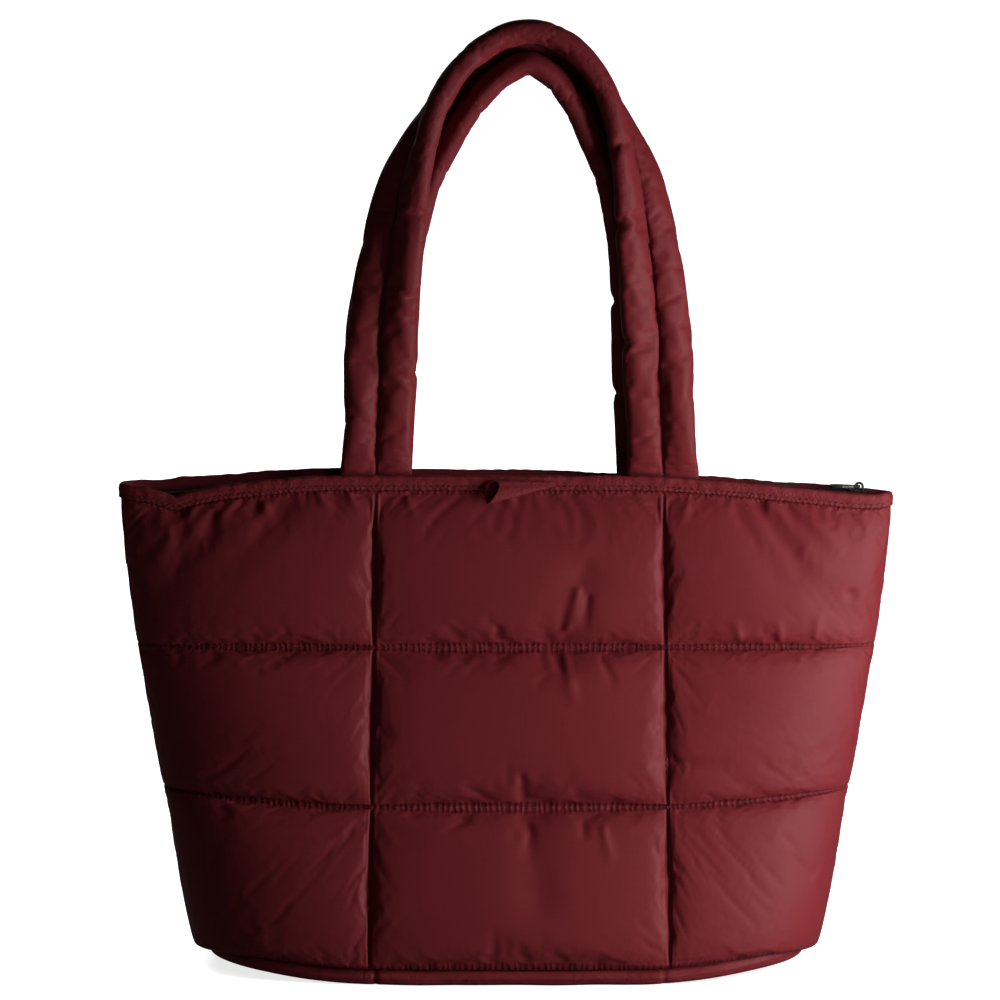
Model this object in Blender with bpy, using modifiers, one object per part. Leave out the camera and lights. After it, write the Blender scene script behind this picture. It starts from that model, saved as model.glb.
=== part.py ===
"""Puffer tote bag: quilted walls on a padded base, a zipped mouth and two padded shoulder straps.

Lengths are in metres, +Z is up, the front faces -Y, and the bag stands on Z = 0.
"""
import math

import bmesh
import bpy
import numpy as np
from mathutils import Vector

# Driving dimensions of the body
RIM_WIDTH = 0.462
BASE_WIDTH = 0.374
BASE_DEPTH = 0.150
MOUTH_DEPTH = 0.034
RIM_HEIGHT = 0.2985
BASE_THICKNESS = 0.009
BASE_ROLL = 0.005
PAD_THICKNESS = 0.0165
SEAM_THICKNESS = 0.0025
BINDING_HEIGHT = 0.0084
BINDING_THICKNESS = 0.0038
COLUMN_WIDTH = 0.172
COLUMN_FLARE = 0.006
COLUMN_SHIFT = 0.008
CORNER_LIFT = 0.011
RIM_DIP = 0.016
LEFT_EAR = 0.008
RIGHT_EAR = 0.002

# Driving dimensions of the shoulder straps
STRAP_WIDTH = 0.043
STRAP_THICKNESS = 0.0135
STRAP_TUCK = 0.006
FRONT_STRAP_HEIGHT = 0.274
BACK_STRAP_HEIGHT = 0.2535
FOOT_THICKNESS = 0.004
BACK_RIGHT_INSET = 0.006
ARCH_LEAN = 0.0055

# Driving dimensions of the zip, its slider and the loop at the front
TAPE_THICKNESS = 0.001
TEETH_WIDTH = 0.005
TEETH_HEIGHT = 0.0022
ZIP_SAG = 0.007
SLIDER_LENGTH = 0.011
SLIDER_WIDTH = 0.0084
SLIDER_PLATE = 0.0016
SLIDER_EDGE = 0.0003
SLIDER_INSET = 0.0195
ZIP_END_INSET = 0.016
BRIDGE_RADIUS = 0.0022
BRIDGE_WIRE = 0.0008
BRIDGE_STEPS = 8
PULL_LENGTH = 0.018
PULL_WIDTH = 0.0066
PULL_THICKNESS = 0.0014
PULL_BAR_WIDTH = 0.0042
PULL_CORNER = 0.0013
PULL_REST_TILT = math.radians(3)
TAB_LENGTH = 0.042
TAB_HEIGHT = 0.0135
TAB_DEPTH = 0.0065
TAB_WALL = 0.0011

# Clearance between neighbours, the distance under which points are one, and the sharpest soft edge
GAP = 0.0003
MERGE = 0.00001
SOFT_ANGLE = math.radians(50)

# How the outline eases from the base to the mouth, and how square it is
TAPER_POWER = 1.4
BASE_SQUARENESS = 3.0
MOUTH_SQUARENESS = 2.4
OUTLINE_STEPS = 361
OUTLINE_NEAR = 0.004

# How the rows rise or dip towards the side seams
LEVEL_SHARE = 0.45
END_POWER = 1.5
EAR_START = 0.87
EAR_FADE = 6

# How a quilted cell swells between its seams, and how it flattens near an outer edge
CELLS = 3
CELL_COLUMNS = 10
CELL_ROWS = 6
CELL_POWER = 0.42
EDGE_POWER = 0.75
SIDE_FLATTEN = 6
SIDE_SLACK = 0.5
MOST_DENT = 0.4
CROWDING = 0.8

# Colours as linear red, green and blue, and how rough each finish is
BURGUNDY = (0.125, 0.016, 0.022, 1.0)
DARK_BURGUNDY = (0.060, 0.009, 0.012, 1.0)
GUNMETAL = (0.180, 0.170, 0.170, 1.0)
NYLON_ROUGHNESS = 0.38
BINDING_ROUGHNESS = 0.45
TAPE_ROUGHNESS = 0.75
METAL_ROUGHNESS = 0.30

# Soft dents of the front wall: both ends as shares of the width and the height, half breadth as a
# share of the cell height, and depth as a share of the pad
FRONT_DENTS = (
    # x1, v1, x2, v2, breadth, depth
    (0.12, 0.93, 0.04, 0.78, 0.13, 0.22),
    (0.22, 0.98, 0.14, 0.84, 0.11, 0.16),
    (0.60, 0.82, 0.56, 0.68, 0.14, 0.24),
    (0.86, 0.95, 0.92, 0.76, 0.13, 0.20),
    (0.80, 0.97, 0.86, 0.80, 0.11, 0.14),
    (0.53, 0.30, 0.54, 0.14, 0.13, 0.18),
    (0.70, 0.42, 0.80, 0.41, 0.12, 0.14),
)

# Rings of the base from the inside over the rolled edge to the underside
BASE_RINGS = (
    # reach, roll, height
    (0.44, 0.00, 1.00),
    (0.92, 0.00, 1.00),
    (1.00, 0.00, 1.00),
    (1.00, 0.55, 0.84),
    (1.00, 1.00, 0.50),
    (1.00, 0.72, 0.16),
    (1.00, 0.00, 0.00),
    (0.88, 0.00, 0.00),
    (0.44, 0.00, 0.00),
)
BASE_STEPS = 48

# Corners of the folded binding as shares of its thickness and its height
BINDING_SECTION = (
    # outwards, upwards
    (0.00, 0.00),
    (0.80, 0.00),
    (1.00, 0.22),
    (1.00, 0.78),
    (0.72, 1.00),
    (0.28, 1.00),
    (0.00, 0.78),
)

# Stations of each strap from its foot to the middle of its arch
FRONT_ARCH = (
    # height, spread, twist, centring, thickness, width
    (0.000, 1.000, 0.00, 0.00, 0.00, 1.00),
    (0.028, 0.998, 0.00, 0.00, 0.02, 1.00),
    (0.075, 0.994, 0.00, 0.00, 0.70, 0.98),
    (0.140, 0.985, 0.00, 0.00, 1.00, 0.97),
    (0.240, 0.968, 0.04, 0.00, 1.00, 1.00),
    (0.332, 0.957, 0.15, 0.00, 1.00, 1.00),
    (0.420, 0.928, 0.32, 0.02, 1.00, 0.99),
    (0.508, 0.891, 0.48, 0.06, 1.00, 0.98),
    (0.600, 0.843, 0.62, 0.14, 1.00, 0.98),
    (0.688, 0.794, 0.75, 0.26, 1.00, 0.98),
    (0.776, 0.703, 0.87, 0.42, 1.00, 0.98),
    (0.866, 0.578, 0.96, 0.60, 1.00, 0.98),
    (0.940, 0.400, 1.00, 0.76, 0.98, 0.98),
    (0.985, 0.190, 1.00, 0.84, 0.96, 0.98),
    (1.000, 0.000, 1.00, 0.86, 0.96, 0.98),
)
BACK_ARCH = (
    # height, spread, twist, centring, thickness, width
    (0.000, 1.000, 0.00, 0.00, 0.00, 1.00),
    (0.030, 0.998, 0.00, 0.00, 0.02, 1.00),
    (0.080, 0.985, 0.00, 0.00, 0.70, 0.98),
    (0.150, 0.972, 0.00, 0.00, 1.00, 0.97),
    (0.258, 0.960, 0.04, 0.00, 1.00, 1.00),
    (0.357, 0.951, 0.15, 0.00, 1.00, 1.00),
    (0.452, 0.916, 0.32, 0.00, 1.00, 0.99),
    (0.546, 0.867, 0.48, 0.02, 1.00, 0.98),
    (0.645, 0.780, 0.62, 0.08, 1.00, 0.98),
    (0.740, 0.666, 0.75, 0.20, 1.00, 0.98),
    (0.834, 0.525, 0.87, 0.38, 1.00, 0.98),
    (0.912, 0.375, 0.96, 0.58, 0.98, 0.98),
    (0.970, 0.195, 1.00, 0.74, 0.96, 0.98),
    (1.000, 0.000, 1.00, 0.82, 0.96, 0.98),
)
STRAP_STEPS = 34
STRAP_POINTS = 16
STRAP_SEAM_SHARE = 0.36
STRAP_NEAR = 0.01
ARCH_LEAN_POWER = 4

# Half of the teeth's section, and the stations along the row
TEETH_SECTION = (
    # across, upwards
    (-0.5, -0.3),
    (-0.3, -0.5),
    (0.3, -0.5),
    (0.5, -0.3),
)
TEETH_STEPS = 24

# The folded loop at the front: points, how it narrows to its pinched end, and how far it leans
TAB_AROUND = 12
TAB_ALONG = 6
TAB_PINCH = 0.22
TAB_PINCH_POWER = 1.3
TAB_LEAN = 0.5

# Sizes that follow from the driving ones
PANEL_FOOT = BASE_THICKNESS + GAP
PANEL_TOP = RIM_HEIGHT - BINDING_HEIGHT - GAP
ZIP_LEVEL = RIM_HEIGHT - STRAP_TUCK - GAP
ZIP_END = RIM_WIDTH / 2 - ZIP_END_INSET
SLIDER_X = RIM_WIDTH / 2 - SLIDER_INSET


def mix(start, end, share):
    """The value that lies at a share of the way from start to end."""
    return start + (end - start) * share


def crowd(share):
    """A share of a cell's side, moved so that points crowd towards both seams."""
    return mix(share, 0.5 - 0.5 * math.cos(math.pi * share), CROWDING)


def half_sizes(height):
    """Half width, half depth and squareness of the lining's outline at a share of the height."""
    ease = max(0.0, 1.0 - height) ** TAPER_POWER
    half_width = mix(RIM_WIDTH, BASE_WIDTH, ease) / 2 - SEAM_THICKNESS
    half_depth = mix(MOUTH_DEPTH, BASE_DEPTH, ease) / 2 - SEAM_THICKNESS
    return half_width, half_depth, mix(MOUTH_SQUARENESS, BASE_SQUARENESS, ease)


def outline(height):
    """Half of the lining's outline, left to right: x, distance from the middle plane, length share."""
    half_width, half_depth, squareness = half_sizes(height)
    angle = np.linspace(math.pi, 0.0, OUTLINE_STEPS)
    x = half_width * np.sign(np.cos(angle)) * np.abs(np.cos(angle)) ** (2 / squareness)
    reach = half_depth * np.abs(np.sin(angle)) ** (2 / squareness)
    length = np.concatenate(([0.0], np.cumsum(np.hypot(np.diff(x), np.diff(reach)))))
    return x, reach, length / length[-1]


def outline_point(height, share):
    """Point of the half outline at a share of its length, with its outward direction."""
    x, reach, length = outline(height)
    middle = [np.interp(share, length, values) for values in (x, reach)]
    before, after = [
        [np.interp(near, length, values) for values in (x, reach)]
        for near in (max(0.0, share - OUTLINE_NEAR), min(1.0, share + OUTLINE_NEAR))
    ]
    along = Vector((after[0] - before[0], after[1] - before[1]))
    outward = Vector((-along.y, along.x)).normalized()
    if share in (0.0, 1.0):
        outward = Vector((math.copysign(1.0, middle[0]), 0.0))
    return Vector(middle), outward


def mouth_reach(x):
    """Distance of the lining from the middle plane at the rim, at a place along the width."""
    half_width, half_depth, squareness = half_sizes(1.0)
    return half_depth * max(0.0, 1.0 - abs(x / half_width) ** squareness) ** (1 / squareness)


def end_rise(x, half_width):
    """0 over the level middle, growing to 1 at the side seam."""
    share = min(1.0, abs(x) / half_width)
    return (max(0.0, share - LEVEL_SHARE) / (1.0 - LEVEL_SHARE)) ** END_POWER


def level(height, x):
    """Z of the wall at a share of its height: the base corners lift and the rim dips at its ends."""
    half_width = half_sizes(height)[0]
    rise = end_rise(x, half_width)
    bend = CORNER_LIFT * (1.0 - height ** 2) - RIM_DIP * height ** 2
    into_ear = max(0.0, abs(x) / half_width - EAR_START) / (1.0 - EAR_START)
    ear = (LEFT_EAR if x < 0.0 else RIGHT_EAR) * min(1.0, into_ear) ** 2 * height ** EAR_FADE
    return mix(PANEL_FOOT, PANEL_TOP, height) + bend * rise + ear


def material(name, colour, roughness, metallic=0.0):
    """A plain finish."""
    finish = bpy.data.materials.new(name)
    finish.use_nodes = True
    shader = finish.node_tree.nodes["Principled BSDF"]
    shader.inputs["Base Color"].default_value = colour
    shader.inputs["Roughness"].default_value = roughness
    shader.inputs["Metallic"].default_value = metallic
    return finish


def add_object(name, shape, finish, collection):
    """An object of the bag from a finished bmesh."""
    mesh = bpy.data.meshes.new(name)
    shape.to_mesh(mesh)
    shape.free()
    mesh.shade_smooth()
    mesh.set_sharp_from_angle(angle=SOFT_ANGLE)
    mesh.materials.append(finish)
    made = bpy.data.objects.new(name, mesh)
    collection.objects.link(made)
    return made


def sheet(columns, rows, place):
    """An open grid of quads whose corner at shares (u, v) goes to place(u, v)."""
    shape = bmesh.new()
    bmesh.ops.create_grid(shape, x_segments=columns, y_segments=rows, size=0.5)
    for vert in shape.verts:
        vert.co = place(vert.co.x + 0.5, vert.co.y + 0.5)
    return shape


def wrapped(columns, rows, place):
    """A closed body: a grid rolled up along u, with both of its open ends filled."""
    shape = sheet(columns, rows, place)
    bmesh.ops.remove_doubles(shape, verts=shape.verts, dist=MERGE)
    bmesh.ops.holes_fill(shape, edges=[edge for edge in shape.edges if edge.is_boundary])
    bmesh.ops.recalc_face_normals(shape, faces=shape.faces)
    return shape


def thicken(made, thickness, offset):
    """Give an open sheet its wall."""
    wall = made.modifiers.new("wall", "SOLIDIFY")
    wall.thickness = thickness
    wall.offset = offset
    return wall


def join(made, added):
    """Unite a second body with the first and remove the second object."""
    union = made.modifiers.new("union", "BOOLEAN")
    union.operation = "UNION"
    union.solver = "EXACT"
    union.object = added
    bpy.context.view_layer.update()
    result = bpy.data.meshes.new_from_object(made.evaluated_get(bpy.context.evaluated_depsgraph_get()))
    made.modifiers.clear()
    made.data = result
    bpy.data.objects.remove(added)


# Quilted walls


def seam_shares(height):
    """Length shares of the half outline where the columns of cells begin and end."""
    x, _, length = outline(height)
    half_column = (COLUMN_WIDTH + COLUMN_FLARE * (1.0 - height)) / 2
    seams = [np.interp(COLUMN_SHIFT + side * half_column, x, length) for side in (-1, 1)]
    return [0.0, *seams, 1.0]


def column_share(index, height):
    """Length share of one of the wall's columns of points at a share of the height."""
    column, step = divmod(index, CELL_COLUMNS)
    shares = [*seam_shares(height), 1.0]
    return mix(shares[column], shares[column + 1], crowd(step / CELL_COLUMNS))


def dent(across, height):
    """Share of the pad that the soft dents take away at a place of the front wall."""
    place = Vector((across * RIM_WIDTH, height * (PANEL_TOP - PANEL_FOOT)))
    taken = 0.0
    for x1, v1, x2, v2, breadth, depth in FRONT_DENTS:
        start = Vector((x1 * RIM_WIDTH, v1 * (PANEL_TOP - PANEL_FOOT)))
        end = Vector((x2 * RIM_WIDTH, v2 * (PANEL_TOP - PANEL_FOOT)))
        along = (place - start).dot(end - start) / (end - start).length_squared
        away = (place - start.lerp(end, min(1.0, max(0.0, along)))).length
        half_breadth = breadth * (PANEL_TOP - PANEL_FOOT) / CELLS
        taken += depth * math.exp(-((away / half_breadth) ** 2))
    return min(taken, MOST_DENT)


def pad_share(column, in_column, row, in_row):
    """How full the wadding is at a place inside a cell, 0 on a seam and 1 in the middle."""
    across = 4.0 * in_column * (1.0 - in_column)
    upwards = 4.0 * in_row * (1.0 - in_row)
    outer_side = (column == 0 and in_column < 0.5) or (column == CELLS - 1 and in_column > 0.5)
    outer_top = row == CELLS - 1 and in_row > 0.5
    across_power = EDGE_POWER if outer_side else CELL_POWER
    upwards_power = EDGE_POWER if outer_top else CELL_POWER
    return max(0.0, across) ** across_power * max(0.0, upwards) ** upwards_power


def build_panel(name, side, dented, finish, collection):
    """One quilted wall, side -1 in front and 1 behind: the lining, padded outwards."""
    shape = bmesh.new()
    columns, rows = CELLS * CELL_COLUMNS, CELLS * CELL_ROWS
    bmesh.ops.create_grid(shape, x_segments=columns, y_segments=rows, size=0.5)
    weights = shape.verts.layers.deform.verify()
    for vert in shape.verts:
        index = round((vert.co.x + 0.5) * columns)
        column, step = divmod(index, CELL_COLUMNS)
        row, rung = divmod(round((vert.co.y + 0.5) * rows), CELL_ROWS)
        in_column, in_row = crowd(step / CELL_COLUMNS), crowd(rung / CELL_ROWS)
        height = min(1.0, (row + in_row) / CELLS)
        (x, reach), _ = outline_point(height, column_share(index, height))
        pad = pad_share(column, in_column, row, in_row)
        pad *= 1.0 - abs(x / half_sizes(height)[0]) ** SIDE_FLATTEN * SIDE_SLACK
        if dented:
            pad *= 1.0 - dent(x / RIM_WIDTH + 0.5, height)
        vert.co = (x, side * (reach + GAP / 2), level(height, x))
        vert[weights][0] = mix(SEAM_THICKNESS, PAD_THICKNESS, pad) / PAD_THICKNESS
    if side > 0:
        bmesh.ops.reverse_faces(shape, faces=shape.faces)
    made = add_object(name, shape, finish, collection)
    made.vertex_groups.new(name="pad")
    thicken(made, PAD_THICKNESS, 1.0).vertex_group = "pad"


# Base


def base_point(around, across):
    """Point of the base's skin: around its outline, and over the rings from inside to underside."""
    reach, roll, height = BASE_RINGS[round(across * (len(BASE_RINGS) - 1))]
    front = around < 0.5
    share = 2.0 * around if front else 2.0 - 2.0 * around
    (x, depth), outward = outline_point(0.0, share)
    x = x * reach + outward.x * roll * BASE_ROLL
    depth = depth * reach + outward.y * roll * BASE_ROLL
    rise = CORNER_LIFT * end_rise(x, half_sizes(0.0)[0])
    return Vector((x, -depth if front else depth, BASE_THICKNESS * height + rise))


# Binding over the walls' top edges


def build_binding(name, side, finish, collection):
    """The folded strip along one wall's top edge, with a station at each column of the wall's points."""
    points = len(BINDING_SECTION)
    stations = CELLS * CELL_COLUMNS

    def place(around, along):
        outwards, upwards = BINDING_SECTION[round(around * points) % points]
        (x, reach), outward = outline_point(1.0, column_share(round(along * stations), 1.0))
        depth = reach + GAP / 2 + outward.y * outwards * BINDING_THICKNESS
        z = level(1.0, x) + GAP + upwards * BINDING_HEIGHT
        return Vector((x + outward.x * outwards * BINDING_THICKNESS, side * depth, z))

    add_object(name, wrapped(points, stations, place), finish, collection)


# Zip


def zip_level(x):
    """Z of the top of the zip's tapes."""
    return ZIP_LEVEL - ZIP_SAG * end_rise(x, half_sizes(1.0)[0])


def build_tape(name, side, finish, collection):
    """One woven tape from the wall's lining to the teeth."""

    def place(along, across):
        x = mix(-ZIP_END, ZIP_END, along)
        inner = TEETH_WIDTH / 2 + GAP
        outer = max(mouth_reach(x) - GAP, inner + GAP)
        return Vector((x, side * mix(outer, inner, across), zip_level(x)))

    shape = sheet(CELLS * CELL_COLUMNS, 1, place)
    if side > 0:
        bmesh.ops.reverse_faces(shape, faces=shape.faces)
    thicken(add_object(name, shape, finish, collection), TAPE_THICKNESS, -1.0)


def build_teeth(finish, collection):
    """The closed row of teeth, from the left end to the slider's mouth."""
    corners = TEETH_SECTION + tuple((-across, -upwards) for across, upwards in TEETH_SECTION)
    mouth = SLIDER_X - SLIDER_LENGTH / 2 - GAP

    def place(around, along):
        across, upwards = corners[round(around * len(corners)) % len(corners)]
        x = mix(-ZIP_END, mouth, along)
        z = zip_level(x) - TAPE_THICKNESS / 2 + upwards * TEETH_HEIGHT
        return Vector((x, across * TEETH_WIDTH, z))

    add_object("zip_teeth", wrapped(len(corners), TEETH_STEPS, place), finish, collection)


def add_block(name, centre, size, bevel, finish, collection):
    """A block with rounded edges."""
    shape = bmesh.new()
    bmesh.ops.create_cube(shape, size=1.0)
    bmesh.ops.scale(shape, vec=size, verts=shape.verts)
    bmesh.ops.bevel(shape, geom=shape.edges, offset=bevel, segments=1, profile=0.5, affect="EDGES")
    bmesh.ops.translate(shape, vec=centre, verts=shape.verts)
    return add_object(name, shape, finish, collection)


def zip_tilt():
    """Turn about Y that lays a piece along the zip at the slider."""
    ahead, behind = SLIDER_X + SLIDER_LENGTH / 2, SLIDER_X - SLIDER_LENGTH / 2
    return math.atan2(zip_level(behind) - zip_level(ahead), SLIDER_LENGTH)


def axis_height():
    """Height over the tapes of the cross bar that the pull turns on, under the bridge."""
    return 2 * GAP + SLIDER_PLATE + PULL_THICKNESS / math.sqrt(2)


def place_on_zip(made, height, turn):
    """Put a piece over the zip at the slider's place."""
    upwards = Vector((math.sin(zip_tilt()), 0.0, math.cos(zip_tilt())))
    made.location = Vector((SLIDER_X, 0.0, zip_level(SLIDER_X))) + upwards * height
    made.rotation_euler = (0.0, zip_tilt() + turn, 0.0)


def mesh_from_curve(guide):
    """A welded bmesh of a curve object, which is removed."""
    bpy.context.view_layer.update()
    shape = bmesh.new()
    shape.from_mesh(guide.evaluated_get(bpy.context.evaluated_depsgraph_get()).to_mesh())
    bpy.data.objects.remove(guide)
    bmesh.ops.remove_doubles(shape, verts=shape.verts, dist=MERGE)
    bmesh.ops.recalc_face_normals(shape, faces=shape.faces)
    return shape


def add_curve(name, dimensions, routes, cyclic, collection):
    """A guide curve through straight runs."""
    curve = bpy.data.curves.new(name, "CURVE")
    curve.dimensions = dimensions
    for route in routes:
        spline = curve.splines.new("POLY")
        spline.points.add(len(route) - 1)
        spline.use_cyclic_u = cyclic
        for point, place in zip(spline.points, route):
            point.co = (*place, 1.0)
    guide = bpy.data.objects.new(name, curve)
    collection.objects.link(guide)
    return guide


def build_slider(finish, collection):
    """Two plates over and under the tapes on a core between them, with a bridge for the pull."""
    plate = (SLIDER_LENGTH, SLIDER_WIDTH, SLIDER_PLATE)
    over = GAP + SLIDER_PLATE / 2
    under = -TAPE_THICKNESS - GAP - SLIDER_PLATE / 2
    slider = add_block("zip_slider", (0.0, 0.0, over), plate, SLIDER_EDGE, finish, collection)
    join(slider, add_block("under_plate", (0.0, 0.0, under), plate, SLIDER_EDGE, finish, collection))
    core = (SLIDER_LENGTH - 2 * SLIDER_PLATE, TEETH_WIDTH - 2 * GAP, over - under)
    join(slider, add_block("core", (0.0, 0.0, (over + under) / 2), core, SLIDER_EDGE, finish, collection))
    ring = [
        Vector((-math.cos(turn) * BRIDGE_RADIUS, 0.0, axis_height() + math.sin(turn) * BRIDGE_RADIUS))
        for turn in (math.pi * step / BRIDGE_STEPS for step in range(BRIDGE_STEPS + 1))
    ]
    route = [Vector((ring[0].x, 0.0, over)), *ring, Vector((ring[-1].x, 0.0, over))]
    guide = add_curve("bridge", "3D", [route], False, collection)
    guide.data.bevel_depth = BRIDGE_WIRE
    guide.data.bevel_resolution = 1
    guide.data.use_fill_caps = True
    join(slider, add_object("bridge_body", mesh_from_curve(guide), finish, collection))
    place_on_zip(slider, 0.0, 0.0)


def build_pull(finish, collection):
    """The pull: a rounded plate with a window that the bridge passes through, turning on its bar."""
    half_bar, half_width = PULL_BAR_WIDTH / 2, PULL_WIDTH / 2
    near, far = -PULL_THICKNESS / 2, PULL_LENGTH - PULL_THICKNESS / 2
    window_far = BRIDGE_RADIUS + BRIDGE_WIRE + GAP
    window_half = BRIDGE_WIRE + 2 * GAP
    upper = (
        (near, half_bar), (window_far, half_bar), ((window_far + far) / 2, half_width),
        (far - PULL_CORNER, half_width), (far, half_width - PULL_CORNER),
    )
    outer = [(-along, across, 0.0) for along, across in upper]
    outer += [(-along, -across, 0.0) for along, across in reversed(upper)]
    window = [
        (-along, across, 0.0) for along, across in
        ((-near, -window_half), (window_far, -window_half), (window_far, window_half), (-near, window_half))
    ]
    guide = add_curve("pull_outline", "2D", [outer, window], True, collection)
    guide.data.fill_mode = "BOTH"
    guide.data.extrude = PULL_THICKNESS / 2
    pull = add_object("zip_pull", mesh_from_curve(guide), finish, collection)
    place_on_zip(pull, axis_height(), -PULL_REST_TILT)


# Shoulder straps


def strap_section():
    """Two padded channels side by side with a sewn line between, as shares of half the size."""
    quarter = STRAP_POINTS // 4
    top = []
    for side in (-1, 1):
        for step in range(quarter):
            turn = math.pi * step / quarter
            across = 0.5 * (side - math.cos(turn))
            top.append((across, max(math.sin(turn), 0.0 if side < 0 and step == 0 else STRAP_SEAM_SHARE)))
    bottom = [(-across, -upwards) for across, upwards in top]
    return top + bottom


def smooth_row(table, place):
    """Row of a table at a place between its rows, on a smooth curve through them."""
    rows = np.array(table)
    first = min(int(place), len(rows) - 2)
    share = place - first
    around = [rows[min(max(first + step, 0), len(rows) - 1)] for step in (-1, 0, 1, 2)]
    slope1, slope2 = (around[2] - around[0]) / 2, (around[3] - around[1]) / 2
    return (
        around[1] * (2 * share ** 3 - 3 * share ** 2 + 1) + slope1 * (share ** 3 - 2 * share ** 2 + share)
        + around[2] * (3 * share ** 2 - 2 * share ** 3) + slope2 * (share ** 3 - share ** 2)
    )


def build_strap(name, side, arch, height, right_inset, finish, collection):
    """One padded strap, side -1 on the front wall and 1 on the back wall."""
    left = [(row[0], -row[1], *row[2:]) for row in arch]
    table = left + [(row[0], row[1], *row[2:]) for row in arch[-2::-1]]
    foot_reach = min(mouth_reach(COLUMN_SHIFT + end * (COLUMN_WIDTH + STRAP_WIDTH) / 2) for end in (-1, 1))
    foot_reach -= 2 * GAP + FOOT_THICKNESS / 2
    section = strap_section()

    def centre(along):
        upwards, spread, _, centring, _, _ = smooth_row(table, along * (len(table) - 1))
        lean = ARCH_LEAN * max(0.0, upwards) ** ARCH_LEAN_POWER
        return Vector((
            COLUMN_SHIFT + spread * COLUMN_WIDTH / 2 - max(0.0, spread) * right_inset + lean,
            side * foot_reach * (1.0 - centring),
            RIM_HEIGHT - STRAP_TUCK + upwards * height,
        ))

    def place(around, along):
        _, _, twist, _, thickness, width = smooth_row(table, along * (len(table) - 1))
        tangent = centre(min(1.0, along + STRAP_NEAR)) - centre(max(0.0, along - STRAP_NEAR))
        if along in (0.0, 1.0):
            tangent = Vector((0.0, 0.0, 1.0 if along == 0.0 else -1.0))
        tangent.normalize()
        outward = Vector((-tangent.z, 0.0, tangent.x)).normalized()
        turn = twist * math.pi / 2
        face = outward * math.sin(turn) + Vector((0.0, -1.0, 0.0)) * math.cos(turn)
        across = tangent.cross(face).normalized()
        face = across.cross(tangent)
        wide, thick = section[round(around * len(section)) % len(section)]
        half_thickness = mix(FOOT_THICKNESS, STRAP_THICKNESS, thickness) / 2
        return centre(along) + across * wide * width * STRAP_WIDTH / 2 + face * thick * half_thickness

    add_object(name, wrapped(len(section), STRAP_STEPS, place), finish, collection)


# Folded loop at the front


def build_tab(finish, collection):
    """A folded fabric loop that lies along the binding: open at the left, pinched at the right."""
    binding_face = mouth_reach(0.0) + GAP / 2 + BINDING_THICKNESS

    def place(around, along):
        turn = 2.0 * math.pi * around
        size = mix(1.0, TAB_PINCH, along ** TAB_PINCH_POWER)
        across, upwards = math.cos(turn) * size * TAB_DEPTH / 2, math.sin(turn) * size * TAB_HEIGHT / 2
        x = COLUMN_SHIFT + TAB_LENGTH * (along - 0.5)
        middle = RIM_HEIGHT - BINDING_HEIGHT / 2 - (1.0 - along) * BINDING_HEIGHT / 2
        lean = TAB_LEAN * max(0.0, RIM_HEIGHT - BINDING_HEIGHT / 2 - middle - upwards)
        y = -binding_face - GAP - size * TAB_DEPTH / 2 - lean - across
        return Vector((x, y, middle + upwards))

    shape = sheet(TAB_AROUND, TAB_ALONG, place)
    bmesh.ops.remove_doubles(shape, verts=shape.verts, dist=MERGE)
    thicken(add_object("front_tab", shape, finish, collection), TAB_WALL, 1.0)


def build_bag():
    """All pieces of the bag."""
    for old in list(bpy.data.objects):
        bpy.data.objects.remove(old)
    collection = bpy.data.collections.new("puffer_tote_bag")
    bpy.context.scene.collection.children.link(collection)

    build_panel("front_panel", -1, True, material("front_nylon", BURGUNDY, NYLON_ROUGHNESS), collection)
    build_panel("back_panel", 1, False, material("back_nylon", BURGUNDY, NYLON_ROUGHNESS), collection)
    base = wrapped(BASE_STEPS, len(BASE_RINGS) - 1, base_point)
    add_object("base_panel", base, material("base_nylon", BURGUNDY, NYLON_ROUGHNESS), collection)
    for end, side in (("front", -1), ("back", 1)):
        build_binding("binding_" + end, side, material(end + "_binding", BURGUNDY, BINDING_ROUGHNESS), collection)
        build_tape("zip_tape_" + end, side, material(end + "_tape", DARK_BURGUNDY, TAPE_ROUGHNESS), collection)
    build_teeth(material("coil", DARK_BURGUNDY, METAL_ROUGHNESS), collection)
    build_slider(material("slider_metal", GUNMETAL, METAL_ROUGHNESS, 1.0), collection)
    build_pull(material("pull_metal", GUNMETAL, METAL_ROUGHNESS, 1.0), collection)
    strap = material("front_strap_nylon", BURGUNDY, NYLON_ROUGHNESS)
    build_strap("handle_front", -1, FRONT_ARCH, FRONT_STRAP_HEIGHT, 0.0, strap, collection)
    strap = material("back_strap_nylon", BURGUNDY, NYLON_ROUGHNESS)
    build_strap("handle_back", 1, BACK_ARCH, BACK_STRAP_HEIGHT, BACK_RIGHT_INSET, strap, collection)
    build_tab(material("tab_nylon", BURGUNDY, NYLON_ROUGHNESS), collection)


build_bag()
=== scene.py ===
"""Puffer tote bag: satin quilting, gathered binding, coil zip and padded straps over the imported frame."""
import functools
import math

import bmesh
import bpy
import numpy as np
from mathutils import Matrix, Vector, noise


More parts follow.
